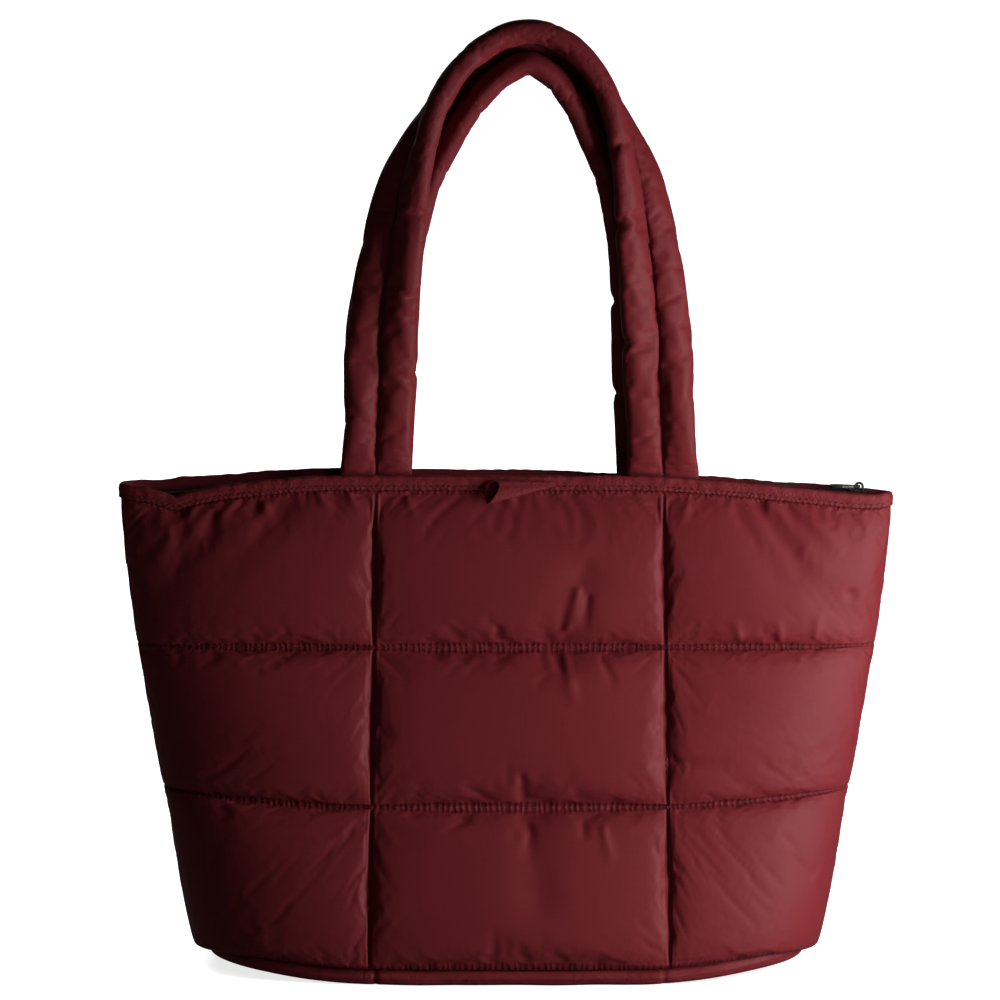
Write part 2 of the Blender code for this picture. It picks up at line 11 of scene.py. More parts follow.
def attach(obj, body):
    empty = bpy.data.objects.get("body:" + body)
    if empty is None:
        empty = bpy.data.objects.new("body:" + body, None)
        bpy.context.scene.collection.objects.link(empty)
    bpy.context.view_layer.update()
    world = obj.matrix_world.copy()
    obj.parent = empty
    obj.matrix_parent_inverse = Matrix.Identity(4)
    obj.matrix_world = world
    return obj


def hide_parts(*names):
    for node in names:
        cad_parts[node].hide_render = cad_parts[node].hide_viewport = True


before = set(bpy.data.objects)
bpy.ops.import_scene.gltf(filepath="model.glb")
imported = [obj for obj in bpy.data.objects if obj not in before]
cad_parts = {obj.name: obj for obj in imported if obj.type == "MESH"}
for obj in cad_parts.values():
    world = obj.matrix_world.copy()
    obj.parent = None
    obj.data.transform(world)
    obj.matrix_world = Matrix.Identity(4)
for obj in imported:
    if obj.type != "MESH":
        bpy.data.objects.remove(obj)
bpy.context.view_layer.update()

# Sizes of the solids, repeated in metres
RIM_WIDTH = 0.462
BASE_WIDTH = 0.374
BASE_DEPTH = 0.150
MOUTH_DEPTH = 0.034
RIM_HEIGHT = 0.2985
BASE_THICKNESS = 0.009
BASE_ROLL = 0.005
SEAM_THICKNESS = 0.0025
BINDING_HEIGHT = 0.0084
BINDING_THICKNESS = 0.0038
COLUMN_WIDTH = 0.172
COLUMN_FLARE = 0.006
COLUMN_SHIFT = 0.008
CORNER_LIFT = 0.011
RIM_DIP = 0.016
LEFT_EAR = 0.008
RIGHT_EAR = 0.002
STRAP_WIDTH = 0.043
STRAP_THICKNESS = 0.0135
STRAP_TUCK = 0.006
BACK_STRAP_HEIGHT = 0.2535
FOOT_THICKNESS = 0.004
BACK_RIGHT_INSET = 0.006
ARCH_LEAN = 0.0055
ARCH_LEAN_POWER = 4
TAPE_THICKNESS = 0.001
TEETH_WIDTH = 0.005
TEETH_HEIGHT = 0.0022
ZIP_SAG = 0.007
SLIDER_LENGTH = 0.011
SLIDER_INSET = 0.0195
ZIP_END_INSET = 0.016
TAB_LENGTH = 0.042
TAB_HEIGHT = 0.0135
TAB_DEPTH = 0.0065
TAB_WALL = 0.0011
TAB_LEAN = 0.5
GAP = 0.0003
TAPER_POWER = 1.4
BASE_SQUARENESS = 3.0
MOUTH_SQUARENESS = 2.4
OUTLINE_STEPS = 361
OUTLINE_NEAR = 0.004
LEVEL_SHARE = 0.45
END_POWER = 1.5
EAR_START = 0.87
EAR_FADE = 6
CELLS = 3
SIDE_FLATTEN = 6
SIDE_SLACK = 0.5
PANEL_FOOT = BASE_THICKNESS + GAP
PANEL_TOP = RIM_HEIGHT - BINDING_HEIGHT - GAP
WALL_HEIGHT = PANEL_TOP - PANEL_FOOT
ZIP_LEVEL = RIM_HEIGHT - STRAP_TUCK - GAP
ZIP_END = RIM_WIDTH / 2 - ZIP_END_INSET
SLIDER_X = RIM_WIDTH / 2 - SLIDER_INSET

# The front strap as it lies on the back one, a little lower than its solid
FRONT_STRAP_HEIGHT = 0.2675

# Cut sizes of the loose cloth, and how the loop narrows and its open end slants
TAB_PINCH = 0.16
TAB_PINCH_POWER = 1.2
TAB_SLANT_LOW = 0.0035
TAB_SLANT_HIGH = 0.011
TAB_AROUND = 48
TAB_ALONG = 40

# Points of the quilted skins before their one subdivision, and how the wadding falls off towards seams and edges
CELL_COLUMNS = 60
CELL_ROWS = 38
CROWDING = 0.5
CELL_POWER = 0.27
COLUMN_POWER = 0.20
COLUMN_FLOOR = 0.45
EDGE_POWER = 0.75
LINING_COLUMNS = 48
LINING_ROWS = 30
SEAM_FALL = 7.0
MERGE = 0.00001

# How a wall's skin settles, and the reach of the pleats and the shape of the folds on it
PAD_SEEN = 0.0134
DENT_LIMIT = 0.4
WALL_GROWTH = 0.008
WALL_PRESSURE = 3.0
WALL_FRAMES = 15
WALL_CAP = 0.004
PLEAT_REACH = 0.0024
FOLD_FADE = 0.6
FOLD_START = 0.7
FOLD_END = 1.3
SEAM_HOLD = 8

# Cloth settings of a light puffer skin
SKIN = {
    "quality": 6, "mass": 0.05, "air_damping": 3.0, "tension_stiffness": 15.0, "compression_stiffness": 8.0,
    "shear_stiffness": 5.0, "bending_stiffness": 0.05, "use_pressure": True,
}

# Points and padding of the straps
STRAP_AROUND = 32
STRAP_ALONG = 260
STRAP_NEAR = 0.01
STRAP_START = 0.97
CHANNEL_POWER = 0.8
SEAM_SHARE = 0.22
PINCH_LENGTH = 0.004
LUMPS = 0.06
LUMPS_ALONG = 38.0
LUMPS_ACROSS = 1.2
SEAM_STEPS = 3
HELD_FOOT = 0.05
HELD_SEAM = 0.03
HELD_EDGE = 0.93
EDGE_HOLD = 0.5
STRAP_GROWTH = 0.016
STRAP_PRESSURE = 4.0
STRAP_FRAMES = 14
STRAP_CAP = 0.002

# Points of the base and the binding, and how the base draws in at its ends and its seams
BASE_AROUND = 640
BASE_TUCK = 0.9
BASE_TUCK_POWER = 6
BASE_DRAW = 0.030
BASE_DRAW_POWER = 8
LEFT_BASE_NOTCH = 0.30
RIGHT_BASE_NOTCH = 0.21
BASE_NOTCH_BREADTH = 0.0014
BASE_RIPPLE = 0.30
BASE_RIPPLE_LENGTH = 1 / 38
BASE_ACROSS = 32
BASE_GIRTH = 0.93
BINDING_ALONG = 330
BINDING_PLEATS = 0.30
FINE_GATHERS = 190.0
WIDE_GATHERS = 60.0
GATHER = 0.10
GATHER_LIFT = 0.4
BINDING_SECTION = (
    # outwards, upwards
    (0.00, 0.00),
    (0.40, 0.00),
    (0.80, 0.00),
    (0.97, 0.12),
    (0.93, 0.26),
    (0.99, 0.45),
    (1.00, 0.65),
    (0.94, 0.84),
    (0.72, 1.00),
    (0.28, 1.00),
    (0.05, 0.84),
    (0.00, 0.50),
)

# Stitches and the coil
STITCH_LENGTH = 0.0027
STITCH_GAP = 0.0009
STITCH_SIZE = 0.0007
STITCH_FLATNESS = 0.8
STITCH_PROUD = 0.2
BINDING_STITCH_PROUD = 0.15
STITCH_HEIGHT = 0.30
SEAM_STOPS = 240
UPRIGHT_STOPS = 160
BINDING_STOPS = 400
NORMAL_STEP = 0.004
COIL_PITCH = 0.0016
BATCH = 40
SPHERE_ALONG_X = Matrix.Rotation(math.pi / 2, 4, "Y")
SPHERE_ALONG_Y = Matrix.Rotation(math.pi / 2, 4, "X")

# Colours as linear red, green and blue
WINE_DEEP = (0.135, 0.0130, 0.0168, 1.0)
WINE_LIGHT = (0.205, 0.0215, 0.0278, 1.0)
TAPE_DEEP = (0.045, 0.007, 0.009, 1.0)
TAPE_LIGHT = (0.090, 0.014, 0.018, 1.0)
COIL_LIGHT = (0.130, 0.030, 0.035, 1.0)
THREAD_DEEP = (0.040, 0.004, 0.006, 1.0)
THREAD_LIGHT = (0.110, 0.012, 0.018, 1.0)
METAL_DEEP = (0.100, 0.090, 0.088, 1.0)
METAL_LIGHT = (0.420, 0.400, 0.390, 1.0)
SHEEN = 0.05
GLOSS = 0.12
# How strongly creases and the painted shade in their valleys show on pieces without a seam_near attribute
EVEN_CREASING_AND_SHADE = 0.4

# Studio: the floor's brightness and white as seen and as light on the bag, the room's light, and the softboxes
FLOOR_HALF_SIZE = 12.0
FLOOR_WHITE = 0.85
FLOOR_SEEN = 0.78
FLOOR_GLOW = 0.02
FLOOR_BOUNCE = 0.06
ROOM_LIGHT = 0.015
OVERHEAD = ("overhead", (0.0, 0.8, 4.0), (0.0, 0.8, 0.0), (8.0, 8.0), 380.0)
SOFTBOXES = (
    # name, place, target, size, watts
    ("key", (0.71, -0.40, 0.22), (0.05, 0.0, 0.16), (0.38, 0.6), 9.2),
    ("fill", (0.6, -2.4, 0.9), (0.0, 0.0, 0.25), (1.2, 1.2), 1.1),
    ("behind", (-0.5, 2.4, 0.9), (0.0, 0.0, 0.25), (1.6, 1.6), 3.5),
)
ELEVATION = math.radians(9)
CAMERA_DISTANCE = 4.3
VIEW_CENTRE = (-0.0036, 0.0, 0.2815)
VIEW_WIDTH = 0.6
SENSOR = 36.0

# Places where the straps' inner edges are pinched: end, height, depth
FRONT_PINCHES = (
    (-1, 0.458, 0.0022),
    (-1, 0.409, 0.0018),
    (-1, 0.397, 0.0016),
    (-1, 0.357, 0.0016),
    (1, 0.498, 0.0022),
    (1, 0.452, 0.0020),
    (1, 0.380, 0.0018),
)
BACK_PINCHES = (
    (-1, 0.430, 0.0018),
    (-1, 0.360, 0.0016),
    (1, 0.480, 0.0018),
    (1, 0.405, 0.0018),
    (1, 0.345, 0.0016),
)

# Soft dents of the front wall
FRONT_DENTS = (
    # x1, v1, x2, v2, breadth, depth
    (0.12, 0.93, 0.04, 0.78, 0.13, 0.22),
    (0.22, 0.98, 0.14, 0.84, 0.11, 0.16),
    (0.60, 0.82, 0.56, 0.68, 0.14, 0.24),
    (0.86, 0.95, 0.92, 0.76, 0.13, 0.20),
    (0.80, 0.97, 0.86, 0.80, 0.11, 0.14),
    (0.53, 0.30, 0.54, 0.14, 0.13, 0.18),
    (0.70, 0.42, 0.80, 0.41, 0.12, 0.14),
)

# Rings of the base from the inside over the rolled edge to the underside
BASE_RINGS = (
    # reach, roll, height
    (0.44, 0.00, 1.00),
    (0.92, 0.00, 1.00),
    (1.00, 0.00, 1.00),
    (1.00, 0.38, 0.84),
    (1.00, 0.66, 0.50),
    (1.00, 0.44, 0.16),
    (1.00, 0.00, 0.00),
    (0.88, 0.00, 0.00),
    (0.44, 0.00, 0.00),
)

# How far each rim stands over or under the even one: places along the width, and shifts
FRONT_RIM = (
    (-0.232, 0.0008), (-0.216, 0.0030), (-0.206, 0.0008), (-0.197, -0.0030), (-0.188, -0.0010), (-0.172, 0.0),
    (0.080, 0.0), (0.116, -0.0018), (0.160, -0.0015), (0.205, 0.0), (0.222, 0.0010), (0.232, 0.0030),
)
BACK_RIM = (
    (-0.232, 0.0010), (-0.219, 0.0046), (-0.195, 0.0052), (-0.171, 0.0024), (-0.120, 0.0), (-0.030, -0.0012),
    (0.020, -0.0014), (0.056, -0.0032), (0.116, -0.0045), (0.164, -0.0030), (0.200, 0.0008), (0.232, 0.0020),
)
RIM_SHIFTS = {-1: tuple(zip(*FRONT_RIM)), 1: tuple(zip(*BACK_RIM))}
RIM_FADE = 10

# How far the walls' feet hang over the base at its ends
FOOT_DROP = 0.0065
FOOT_SHARPNESS = 8
FOOT_FADE = 6

# Folds pressed into the front wall: both ends as x and z, half breadth, height of the ridge or depth of the crease
FRONT_FOLDS = (
    # x1, z1, x2, z2, breadth, rise
    (-0.160, 0.286, -0.175, 0.268, 0.0030, 0.0016),
    (-0.172, 0.284, -0.190, 0.262, 0.0035, 0.0015),
    (-0.148, 0.287, -0.139, 0.272, 0.0026, 0.0015),
    (-0.144, 0.287, -0.151, 0.274, 0.0022, -0.0012),
    (-0.185, 0.280, -0.215, 0.252, 0.0045, 0.0018),
    (-0.192, 0.275, -0.200, 0.240, 0.0045, -0.0014),
    (-0.112, 0.288, -0.104, 0.277, 0.0022, 0.0011),
    (-0.094, 0.288, -0.086, 0.275, 0.0024, 0.0011),
    (0.043, 0.232, 0.037, 0.210, 0.0032, 0.0020),
    (0.037, 0.210, 0.028, 0.202, 0.0026, 0.0015),
    (0.049, 0.228, 0.046, 0.206, 0.0030, -0.0016),
    (-0.005, 0.210, -0.005, 0.201, 0.0022, -0.0012),
    (0.024, 0.195, 0.029, 0.181, 0.0026, 0.0013),
    (0.035, 0.194, 0.041, 0.164, 0.0030, 0.0014),
    (0.057, 0.192, 0.065, 0.176, 0.0026, -0.0013),
    (0.009, 0.124, 0.012, 0.098, 0.0028, -0.0016),
    (0.014, 0.094, 0.013, 0.076, 0.0030, -0.0012),
    (0.046, 0.094, 0.046, 0.086, 0.0022, -0.0011),
    (0.058, 0.093, 0.063, 0.073, 0.0026, 0.0012),
    (0.156, 0.285, 0.194, 0.236, 0.0050, 0.0022),
    (0.148, 0.284, 0.180, 0.240, 0.0045, -0.0018),
    (0.171, 0.284, 0.203, 0.252, 0.0040, 0.0016),
    (-0.205, 0.262, -0.222, 0.246, 0.0050, -0.0016),
    (0.101, 0.131, 0.133, 0.129, 0.0035, -0.0014),
    (0.140, 0.202, 0.136, 0.216, 0.0028, 0.0012),
    (0.164, 0.202, 0.162, 0.215, 0.0026, 0.0011),
    (0.185, 0.203, 0.188, 0.218, 0.0030, 0.0012),
    (0.206, 0.228, 0.210, 0.224, 0.0040, -0.0014),
    (0.110, 0.287, 0.104, 0.270, 0.0026, 0.0012),
    (0.002, 0.288, 0.008, 0.272, 0.0026, 0.0012),
    (-0.060, 0.288, -0.052, 0.270, 0.0026, 0.0010),
    (0.090, 0.080, 0.101, 0.060, 0.0030, -0.0010),
)

# Stations of each strap from its foot to the middle of its arch
FRONT_ARCH = (
    # height, spread, twist, centring, thickness, width
    (0.000, 1.000, 0.00, 0.00, 0.00, 1.00),
    (0.028, 0.998, 0.00, 0.00, 0.02, 1.00),
    (0.075, 0.994, 0.00, 0.00, 0.70, 0.98),
    (0.140, 0.985, 0.00, 0.00, 1.00, 0.97),
    (0.240, 0.968, 0.04, 0.00, 1.00, 1.00),
    (0.332, 0.957, 0.15, 0.00, 1.00, 1.00),
    (0.420, 0.928, 0.24, 0.02, 1.00, 0.99),
    (0.508, 0.893, 0.34, 0.06, 1.00, 0.98),
    (0.600, 0.846, 0.47, 0.14, 1.00, 0.98),
    (0.688, 0.793, 0.63, 0.26, 1.00, 0.98),
    (0.776, 0.696, 0.86, 0.42, 1.00, 0.98),
    (0.866, 0.560, 1.08, 0.60, 1.00, 0.98),
    (0.940, 0.378, 1.20, 0.76, 1.02, 0.98),
    (0.985, 0.185, 1.24, 0.84, 1.02, 0.98),
    (1.000, 0.000, 1.24, 0.86, 1.02, 0.98),
)
BACK_ARCH = (
    # height, spread, twist, centring, thickness, width
    (0.000, 1.000, 0.00, 0.00, 0.00, 1.00),
    (0.030, 0.998, 0.00, 0.00, 0.02, 1.00),
    (0.080, 0.985, 0.00, 0.00, 0.70, 0.98),
    (0.150, 0.972, 0.00, 0.00, 1.00, 0.97),
    (0.258, 0.960, 0.04, 0.00, 1.00, 1.00),
    (0.357, 0.951, 0.15, 0.00, 1.00, 1.00),
    (0.452, 0.916, 0.32, 0.00, 1.00, 0.99),
    (0.546, 0.867, 0.48, 0.02, 1.00, 0.98),
    (0.645, 0.780, 0.62, 0.08, 1.00, 0.98),
    (0.740, 0.666, 0.75, 0.20, 1.00, 0.98),
    (0.834, 0.522, 0.80, 0.38, 1.00, 0.98),
    (0.912, 0.372, 0.86, 0.58, 0.98, 0.98),
    (0.970, 0.195, 0.92, 0.74, 0.96, 0.98),
    (1.000, 0.000, 0.94, 0.82, 0.96, 0.98),
)


def mix(start, end, share):
    """The value that lies at a share of the way from start to end."""
    return start + (end - start) * share


def crowd(share):
    """A share of a cell's side, moved so that points crowd towards both seams."""
    return mix(share, 0.5 - 0.5 * math.cos(math.pi * share), CROWDING)


# The bag's outline, as the solids have it


@functools.lru_cache(maxsize=None)
def half_sizes(height):
    """Half width, half depth and squareness of the lining's outline at a share of the height."""
    ease = max(0.0, 1.0 - height) ** TAPER_POWER
    half_width = mix(RIM_WIDTH, BASE_WIDTH, ease) / 2 - SEAM_THICKNESS
    half_depth = mix(MOUTH_DEPTH, BASE_DEPTH, ease) / 2 - SEAM_THICKNESS
    return half_width, half_depth, mix(MOUTH_SQUARENESS, BASE_SQUARENESS, ease)


@functools.lru_cache(maxsize=None)
def outline(height):
    """Half of the lining's outline, left to right: x, distance from the middle plane, length, share."""
    half_width, half_depth, squareness = half_sizes(height)
    angle = np.linspace(math.pi, 0.0, OUTLINE_STEPS)
    x = half_width * np.sign(np.cos(angle)) * np.abs(np.cos(angle)) ** (2 / squareness)
    reach = half_depth * np.abs(np.sin(angle)) ** (2 / squareness)
    length = np.concatenate(([0.0], np.cumsum(np.hypot(np.diff(x), np.diff(reach)))))
    return x, reach, length, length / length[-1]


def outline_point(height, share):
    """Point of the half outline at a share of its length, with its outward direction."""
    x, reach, _, length = outline(height)
    middle = [np.interp(share, length, values) for values in (x, reach)]
    before, after = [
        [np.interp(near, length, values) for values in (x, reach)]
        for near in (max(0.0, share - OUTLINE_NEAR), min(1.0, share + OUTLINE_NEAR))
    ]
    along = Vector((after[0] - before[0], after[1] - before[1]))
    outward = Vector((-along.y, along.x)).normalized()
    if share in (0.0, 1.0):
        outward = Vector((math.copysign(1.0, middle[0]), 0.0))
    return Vector(middle), outward


def mouth_reach(x):
    """Distance of the lining from the middle plane at the rim, at a place along the width."""
    half_width, half_depth, squareness = half_sizes(1.0)
    return half_depth * max(0.0, 1.0 - abs(x / half_width) ** squareness) ** (1 / squareness)


def end_rise(x, half_width):
    """0 over the level middle, growing to 1 at the side seam."""
    share = min(1.0, abs(x) / half_width)
    return (max(0.0, share - LEVEL_SHARE) / (1.0 - LEVEL_SHARE)) ** END_POWER


def level(height, x, side=0):
    """Z of a wall at a share of its height: the base corners lift, and each rim rises and dips in its own way."""
    half_width = half_sizes(height)[0]
    rise = end_rise(x, half_width)
    bend = CORNER_LIFT * (1.0 - height ** 2) - RIM_DIP * height ** 2
    into_ear = max(0.0, abs(x) / half_width - EAR_START) / (1.0 - EAR_START)
    ear = (LEFT_EAR if x < 0.0 else RIGHT_EAR) * min(1.0, into_ear) ** 2 * height ** EAR_FADE
    shift = float(np.interp(x, *RIM_SHIFTS[side])) if side else 0.0
    drop = FOOT_DROP * min(1.0, abs(x) / half_width) ** FOOT_SHARPNESS * (1.0 - height) ** FOOT_FADE
    return mix(PANEL_FOOT, PANEL_TOP, height) + bend * rise + ear + shift * height ** RIM_FADE - drop


@functools.lru_cache(maxsize=None)
def seam_shares(height):
    """Length shares of the half outline where the columns of cells begin and end."""
    x, _, _, length = outline(height)
    half_column = (COLUMN_WIDTH + COLUMN_FLARE * (1.0 - height)) / 2
    seams = [float(np.interp(COLUMN_SHIFT + side * half_column, x, length)) for side in (-1, 1)]
    return 0.0, *seams, 1.0, 1.0


def column_share(place, height):
    """Length share at a place counted in cells from the left, 0 to CELLS, at a share of the height."""
    column = min(int(place), CELLS - 1)
    shares = seam_shares(height)
    return mix(shares[column], shares[column + 1], place - column)


# Making and finishing pieces


def finished(name, shape, surface):
    """An object from a finished bmesh, with its surface."""
    mesh = bpy.data.meshes.new(name)
    shape.to_mesh(mesh)
    shape.free()
    mesh.shade_smooth()
    mesh.materials.append(surface)
    made = bpy.data.objects.new(name, mesh)
    bpy.context.scene.collection.objects.link(made)
    return made


def sheet(columns, rows, place, cloth=None):
    """An open grid whose corner at shares (u, v) goes to place(u, v); cloth gives its UV in metres."""
    shape = bmesh.new()
    bmesh.ops.create_grid(shape, x_segments=columns, y_segments=rows, size=0.5)
    uv = shape.loops.layers.uv.new("cloth")
    for face in shape.faces:
        for loop in face.loops:
            u, v = loop.vert.co.x + 0.5, loop.vert.co.y + 0.5
            loop[uv].uv = cloth(u, v) if cloth else (u, v)
    for vert in shape.verts:
        vert.co = place(vert.co.x + 0.5, vert.co.y + 0.5)
    return shape


def settle(made, held, growth, pressure, frames, cap):
    """Let a sewn skin find its folds: cloth held at its seams, and no point moved further than cap."""
    start = np.empty(len(made.data.vertices) * 3)
    made.data.vertices.foreach_get("co", start)
    group = made.vertex_groups.new(name="held")
    for index, weight in held.items():
        group.add([index], weight, "REPLACE")
    cloth = made.modifiers.new("settling", "CLOTH")
    for key, value in SKIN.items():
        setattr(cloth.settings, key, value)
    cloth.settings.vertex_group_mass = "held"
    cloth.settings.shrink_min = -growth
    cloth.settings.uniform_pressure_force = pressure
    cloth.settings.effector_weights.gravity = 0.0
    cloth.collision_settings.use_collision = False
    cloth.point_cache.frame_start = 1
    cloth.point_cache.frame_end = frames
    for frame_number in range(1, frames + 1):
        bpy.context.scene.frame_set(frame_number)
    settled = made.evaluated_get(bpy.context.evaluated_depsgraph_get())
    after = np.empty_like(start)
    settled.data.vertices.foreach_get("co", after)
    made.modifiers.remove(cloth)
    made.vertex_groups.remove(group)
    bpy.context.scene.frame_set(1)
    moved = (after - start).reshape(-1, 3)
    far = np.linalg.norm(moved, axis=1, keepdims=True)
    moved *= np.minimum(1.0, cap * np.tanh(far / cap) / np.maximum(far, 1e-9))
    made.data.vertices.foreach_set("co", (start.reshape(-1, 3) + moved).ravel())


def refined(made):
    """Divide every face of a piece once along a smooth curve, then close what is still open."""
    shape = bmesh.new()
    shape.from_mesh(made.data)
    bmesh.ops.subdivide_edges(shape, edges=shape.edges, cuts=1, use_grid_fill=True, smooth=1.0)
    bmesh.ops.holes_fill(shape, edges=[edge for edge in shape.edges if edge.is_boundary])
    bmesh.ops.recalc_face_normals(shape, faces=shape.faces)
    shape.to_mesh(made.data)
    shape.free()
    made.data.shade_smooth()
    return made


# Quilted walls


def dent(across, height):
    """Share of the pad that the soft dents take away at a place of the front wall."""
    place = Vector((across * RIM_WIDTH, height * WALL_HEIGHT))
    taken = 0.0
    for x1, v1, x2, v2, breadth, depth in FRONT_DENTS:
        start, end = Vector((x1 * RIM_WIDTH, v1 * WALL_HEIGHT)), Vector((x2 * RIM_WIDTH, v2 * WALL_HEIGHT))
        along = (place - start).dot(end - start) / (end - start).length_squared
        away = (place - start.lerp(end, min(1.0, max(0.0, along)))).length
        taken += depth * math.exp(-((away / (breadth * WALL_HEIGHT / CELLS)) ** 2))
    return min(taken, DENT_LIMIT)


def row_share(row, in_row):
    """How full the wadding is at a place up a cell, 0 on its seams and 1 half way."""
    outer_top = row == CELLS - 1 and in_row > 0.5
    return max(0.0, 4.0 * in_row * (1.0 - in_row)) ** (EDGE_POWER if outer_top else CELL_POWER)


def pad_share(column, in_column, row, in_row):
    """How full the wadding is at a place inside a cell, 0 on a level seam and 1 in the middle."""
    across = max(0.0, 4.0 * in_column * (1.0 - in_column))
    outer_side = (column == 0 and in_column < 0.5) or (column == CELLS - 1 and in_column > 0.5)
    full = across ** EDGE_POWER if outer_side else mix(COLUMN_FLOOR, 1.0, across ** COLUMN_POWER)
    return full * row_share(row, in_row)


def press_folds(shape, folds):
    """Raise ridges and sink creases along straight runs of the front wall, fading out at their far ends."""
    shape.normal_update()
    near = shape.verts.layers.float["seam_near"]
    spots = np.array([(vert.co.x, vert.co.z) for vert in shape.verts])
    free = 1.0 - np.array([vert[near] for vert in shape.verts]) ** SEAM_HOLD
    rise = np.zeros(len(spots))
    for x1, z1, x2, z2, breadth, height in folds:
        start, run = np.array((x1, z1)), np.array((x2 - x1, z2 - z1))
        share = np.clip((spots - start) @ run / (run @ run), 0.0, 1.0)
        away = np.linalg.norm(spots - start - share[:, None] * run, axis=1)
        spread = breadth * mix(FOLD_START, FOLD_END, share)
        rise += height * (1.0 - share) ** FOLD_FADE * np.exp(-((away / spread) ** 2))
    for vert, lift in zip(shape.verts, rise * free):
        vert.co += vert.normal * lift


def cell(index, steps):
    """A cell's number and the share inside it, for a corner counted along a skin's grid."""
    number, step = divmod(index, steps)
    return (number, crowd(step / steps)) if number < CELLS else (CELLS - 1, 1.0)


def lining_point(place, height, side):
    """Point of a wall's lining: place is counted in cells from the left."""
    (x, reach), _ = outline_point(height, column_share(place, height))
    return Vector((x, side * (reach + GAP / 2), level(height, x, side)))


def build_wall(name, side, dented, surface):
    """One quilted wall, side -1 in front and 1 behind: a puffed skin closed by its lining."""
    columns, rows = CELLS * CELL_COLUMNS, CELLS * CELL_ROWS

    def spot(u, v):
        column, row = cell(round(u * columns), CELL_COLUMNS), cell(round(v * rows), CELL_ROWS)
        return sum(column), sum(row) / CELLS

    def cloth(u, v):
        place, height = spot(u, v)
        return column_share(place, height) * outline(height)[2][-1], height * WALL_HEIGHT

    shape = sheet(columns, rows, lambda u, v: lining_point(*spot(u, v), side), cloth)
    if side > 0:
        bmesh.ops.reverse_faces(shape, faces=shape.faces)
    near = shape.verts.layers.float.new("seam_near")
    pleat = shape.verts.layers.float.new("pleat")
    shape.normal_update()
    shape.verts.ensure_lookup_table()
    held, lift = {}, []
    for vert in shape.verts:
        up, across = divmod(vert.index, columns + 1)
        (column, in_column), (row, in_row) = cell(across, CELL_COLUMNS), cell(up, CELL_ROWS)
        pad = pad_share(column, in_column, row, in_row)
        height = (row + in_row) / CELLS
        pad *= 1.0 - abs(vert.co.x / half_sizes(height)[0]) ** SIDE_FLATTEN * SIDE_SLACK
        if dented:
            pad *= 1.0 - dent(vert.co.x / RIM_WIDTH + 0.5, height)
        lift.append(vert.normal * mix(SEAM_THICKNESS, PAD_SEEN, pad))
        if across % CELL_COLUMNS == 0 or up % CELL_ROWS == 0:
            held[vert.index] = 1.0
        from_row = min(in_row, 1.0 - in_row)
        vert[near] = 1.0 - min(1.0, SEAM_FALL * from_row)
        vert[pleat] = max(0.0, 1.0 - from_row * WALL_HEIGHT / CELLS / PLEAT_REACH)
    for vert, rise in zip(shape.verts, lift):
        vert.co += rise
    skin = finished(name, shape, surface)
    settle(skin, held, WALL_GROWTH, WALL_PRESSURE, WALL_FRAMES, WALL_CAP)
    shape = bmesh.new()
    shape.from_mesh(skin.data)
    bmesh.ops.subdivide_edges(shape, edges=shape.edges, cuts=1, use_grid_fill=True, smooth=1.0)
    if dented:
        press_folds(shape, FRONT_FOLDS)
    skin_rim = [edge for edge in shape.edges if edge.is_boundary]
    back = sheet(LINING_COLUMNS, LINING_ROWS, lambda u, v: lining_point(u * CELLS, v, side), lambda u, v: (u, v))
    if side < 0:
        bmesh.ops.reverse_faces(back, faces=back.faces)
    lining_mesh = bpy.data.meshes.new(name + "_lining")
    back.to_mesh(lining_mesh)
    back.free()
    known = len(shape.edges)
    shape.from_mesh(lining_mesh)
    bpy.data.meshes.remove(lining_mesh)
    shape.edges.ensure_lookup_table()
    lining_rim = [edge for edge in shape.edges[known:] if edge.is_boundary]
    bmesh.ops.bridge_loops(shape, edges=skin_rim + lining_rim)
    shape.to_mesh(skin.data)
    shape.free()
    skin.data.shade_smooth()
    return skin


# Base


def ring_at(place):
    """Reach, roll and height of the base's skin at a place counted in rings."""
    first = min(int(place), len(BASE_RINGS) - 2)
    return [mix(a, b, place - first) for a, b in zip(BASE_RINGS[first], BASE_RINGS[first + 1])]


def build_base(surface):
    """The padded base: a rolled edge all round that shows under the walls, drawn in where their seams end."""
    seam_notches = [
        (COLUMN_SHIFT - COLUMN_WIDTH / 2, LEFT_BASE_NOTCH), (COLUMN_SHIFT + COLUMN_WIDTH / 2, RIGHT_BASE_NOTCH),
    ]

    def place(around, across):
        reach, roll, height = ring_at(across * (len(BASE_RINGS) - 1))
        front = around < 0.5
        share = 2.0 * around if front else 2.0 - 2.0 * around
        (x, depth), outward = outline_point(0.0, share)
        end = min(1.0, abs(x) / half_sizes(0.0)[0])
        roll *= 1.0 - BASE_TUCK * end ** BASE_TUCK_POWER
        for line, notch in seam_notches:
            roll -= notch * math.exp(-(((x - line) / BASE_NOTCH_BREADTH) ** 2))
        roll += BASE_RIPPLE * noise.noise(Vector((x / BASE_RIPPLE_LENGTH, 1.0 if front else 4.0, across * 2.0)))
        reach *= 1.0 - BASE_DRAW * end ** BASE_DRAW_POWER
        x = x * reach + outward.x * roll * BASE_ROLL
        depth = depth * reach + outward.y * roll * BASE_ROLL
        rise = CORNER_LIFT * end_rise(x, half_sizes(0.0)[0])
        return Vector((x, -depth if front else depth, BASE_THICKNESS * height + rise))

    shape = sheet(BASE_AROUND, BASE_ACROSS, place, lambda u, v: (u * BASE_GIRTH, v * BASE_DEPTH))
    bmesh.ops.remove_doubles(shape, verts=shape.verts, dist=MERGE)
    bmesh.ops.holes_fill(shape, edges=[edge for edge in shape.edges if edge.is_boundary])
    bmesh.ops.recalc_face_normals(shape, faces=shape.faces)
    return finished("padded_base", shape, surface)


# Binding over the walls' top edges


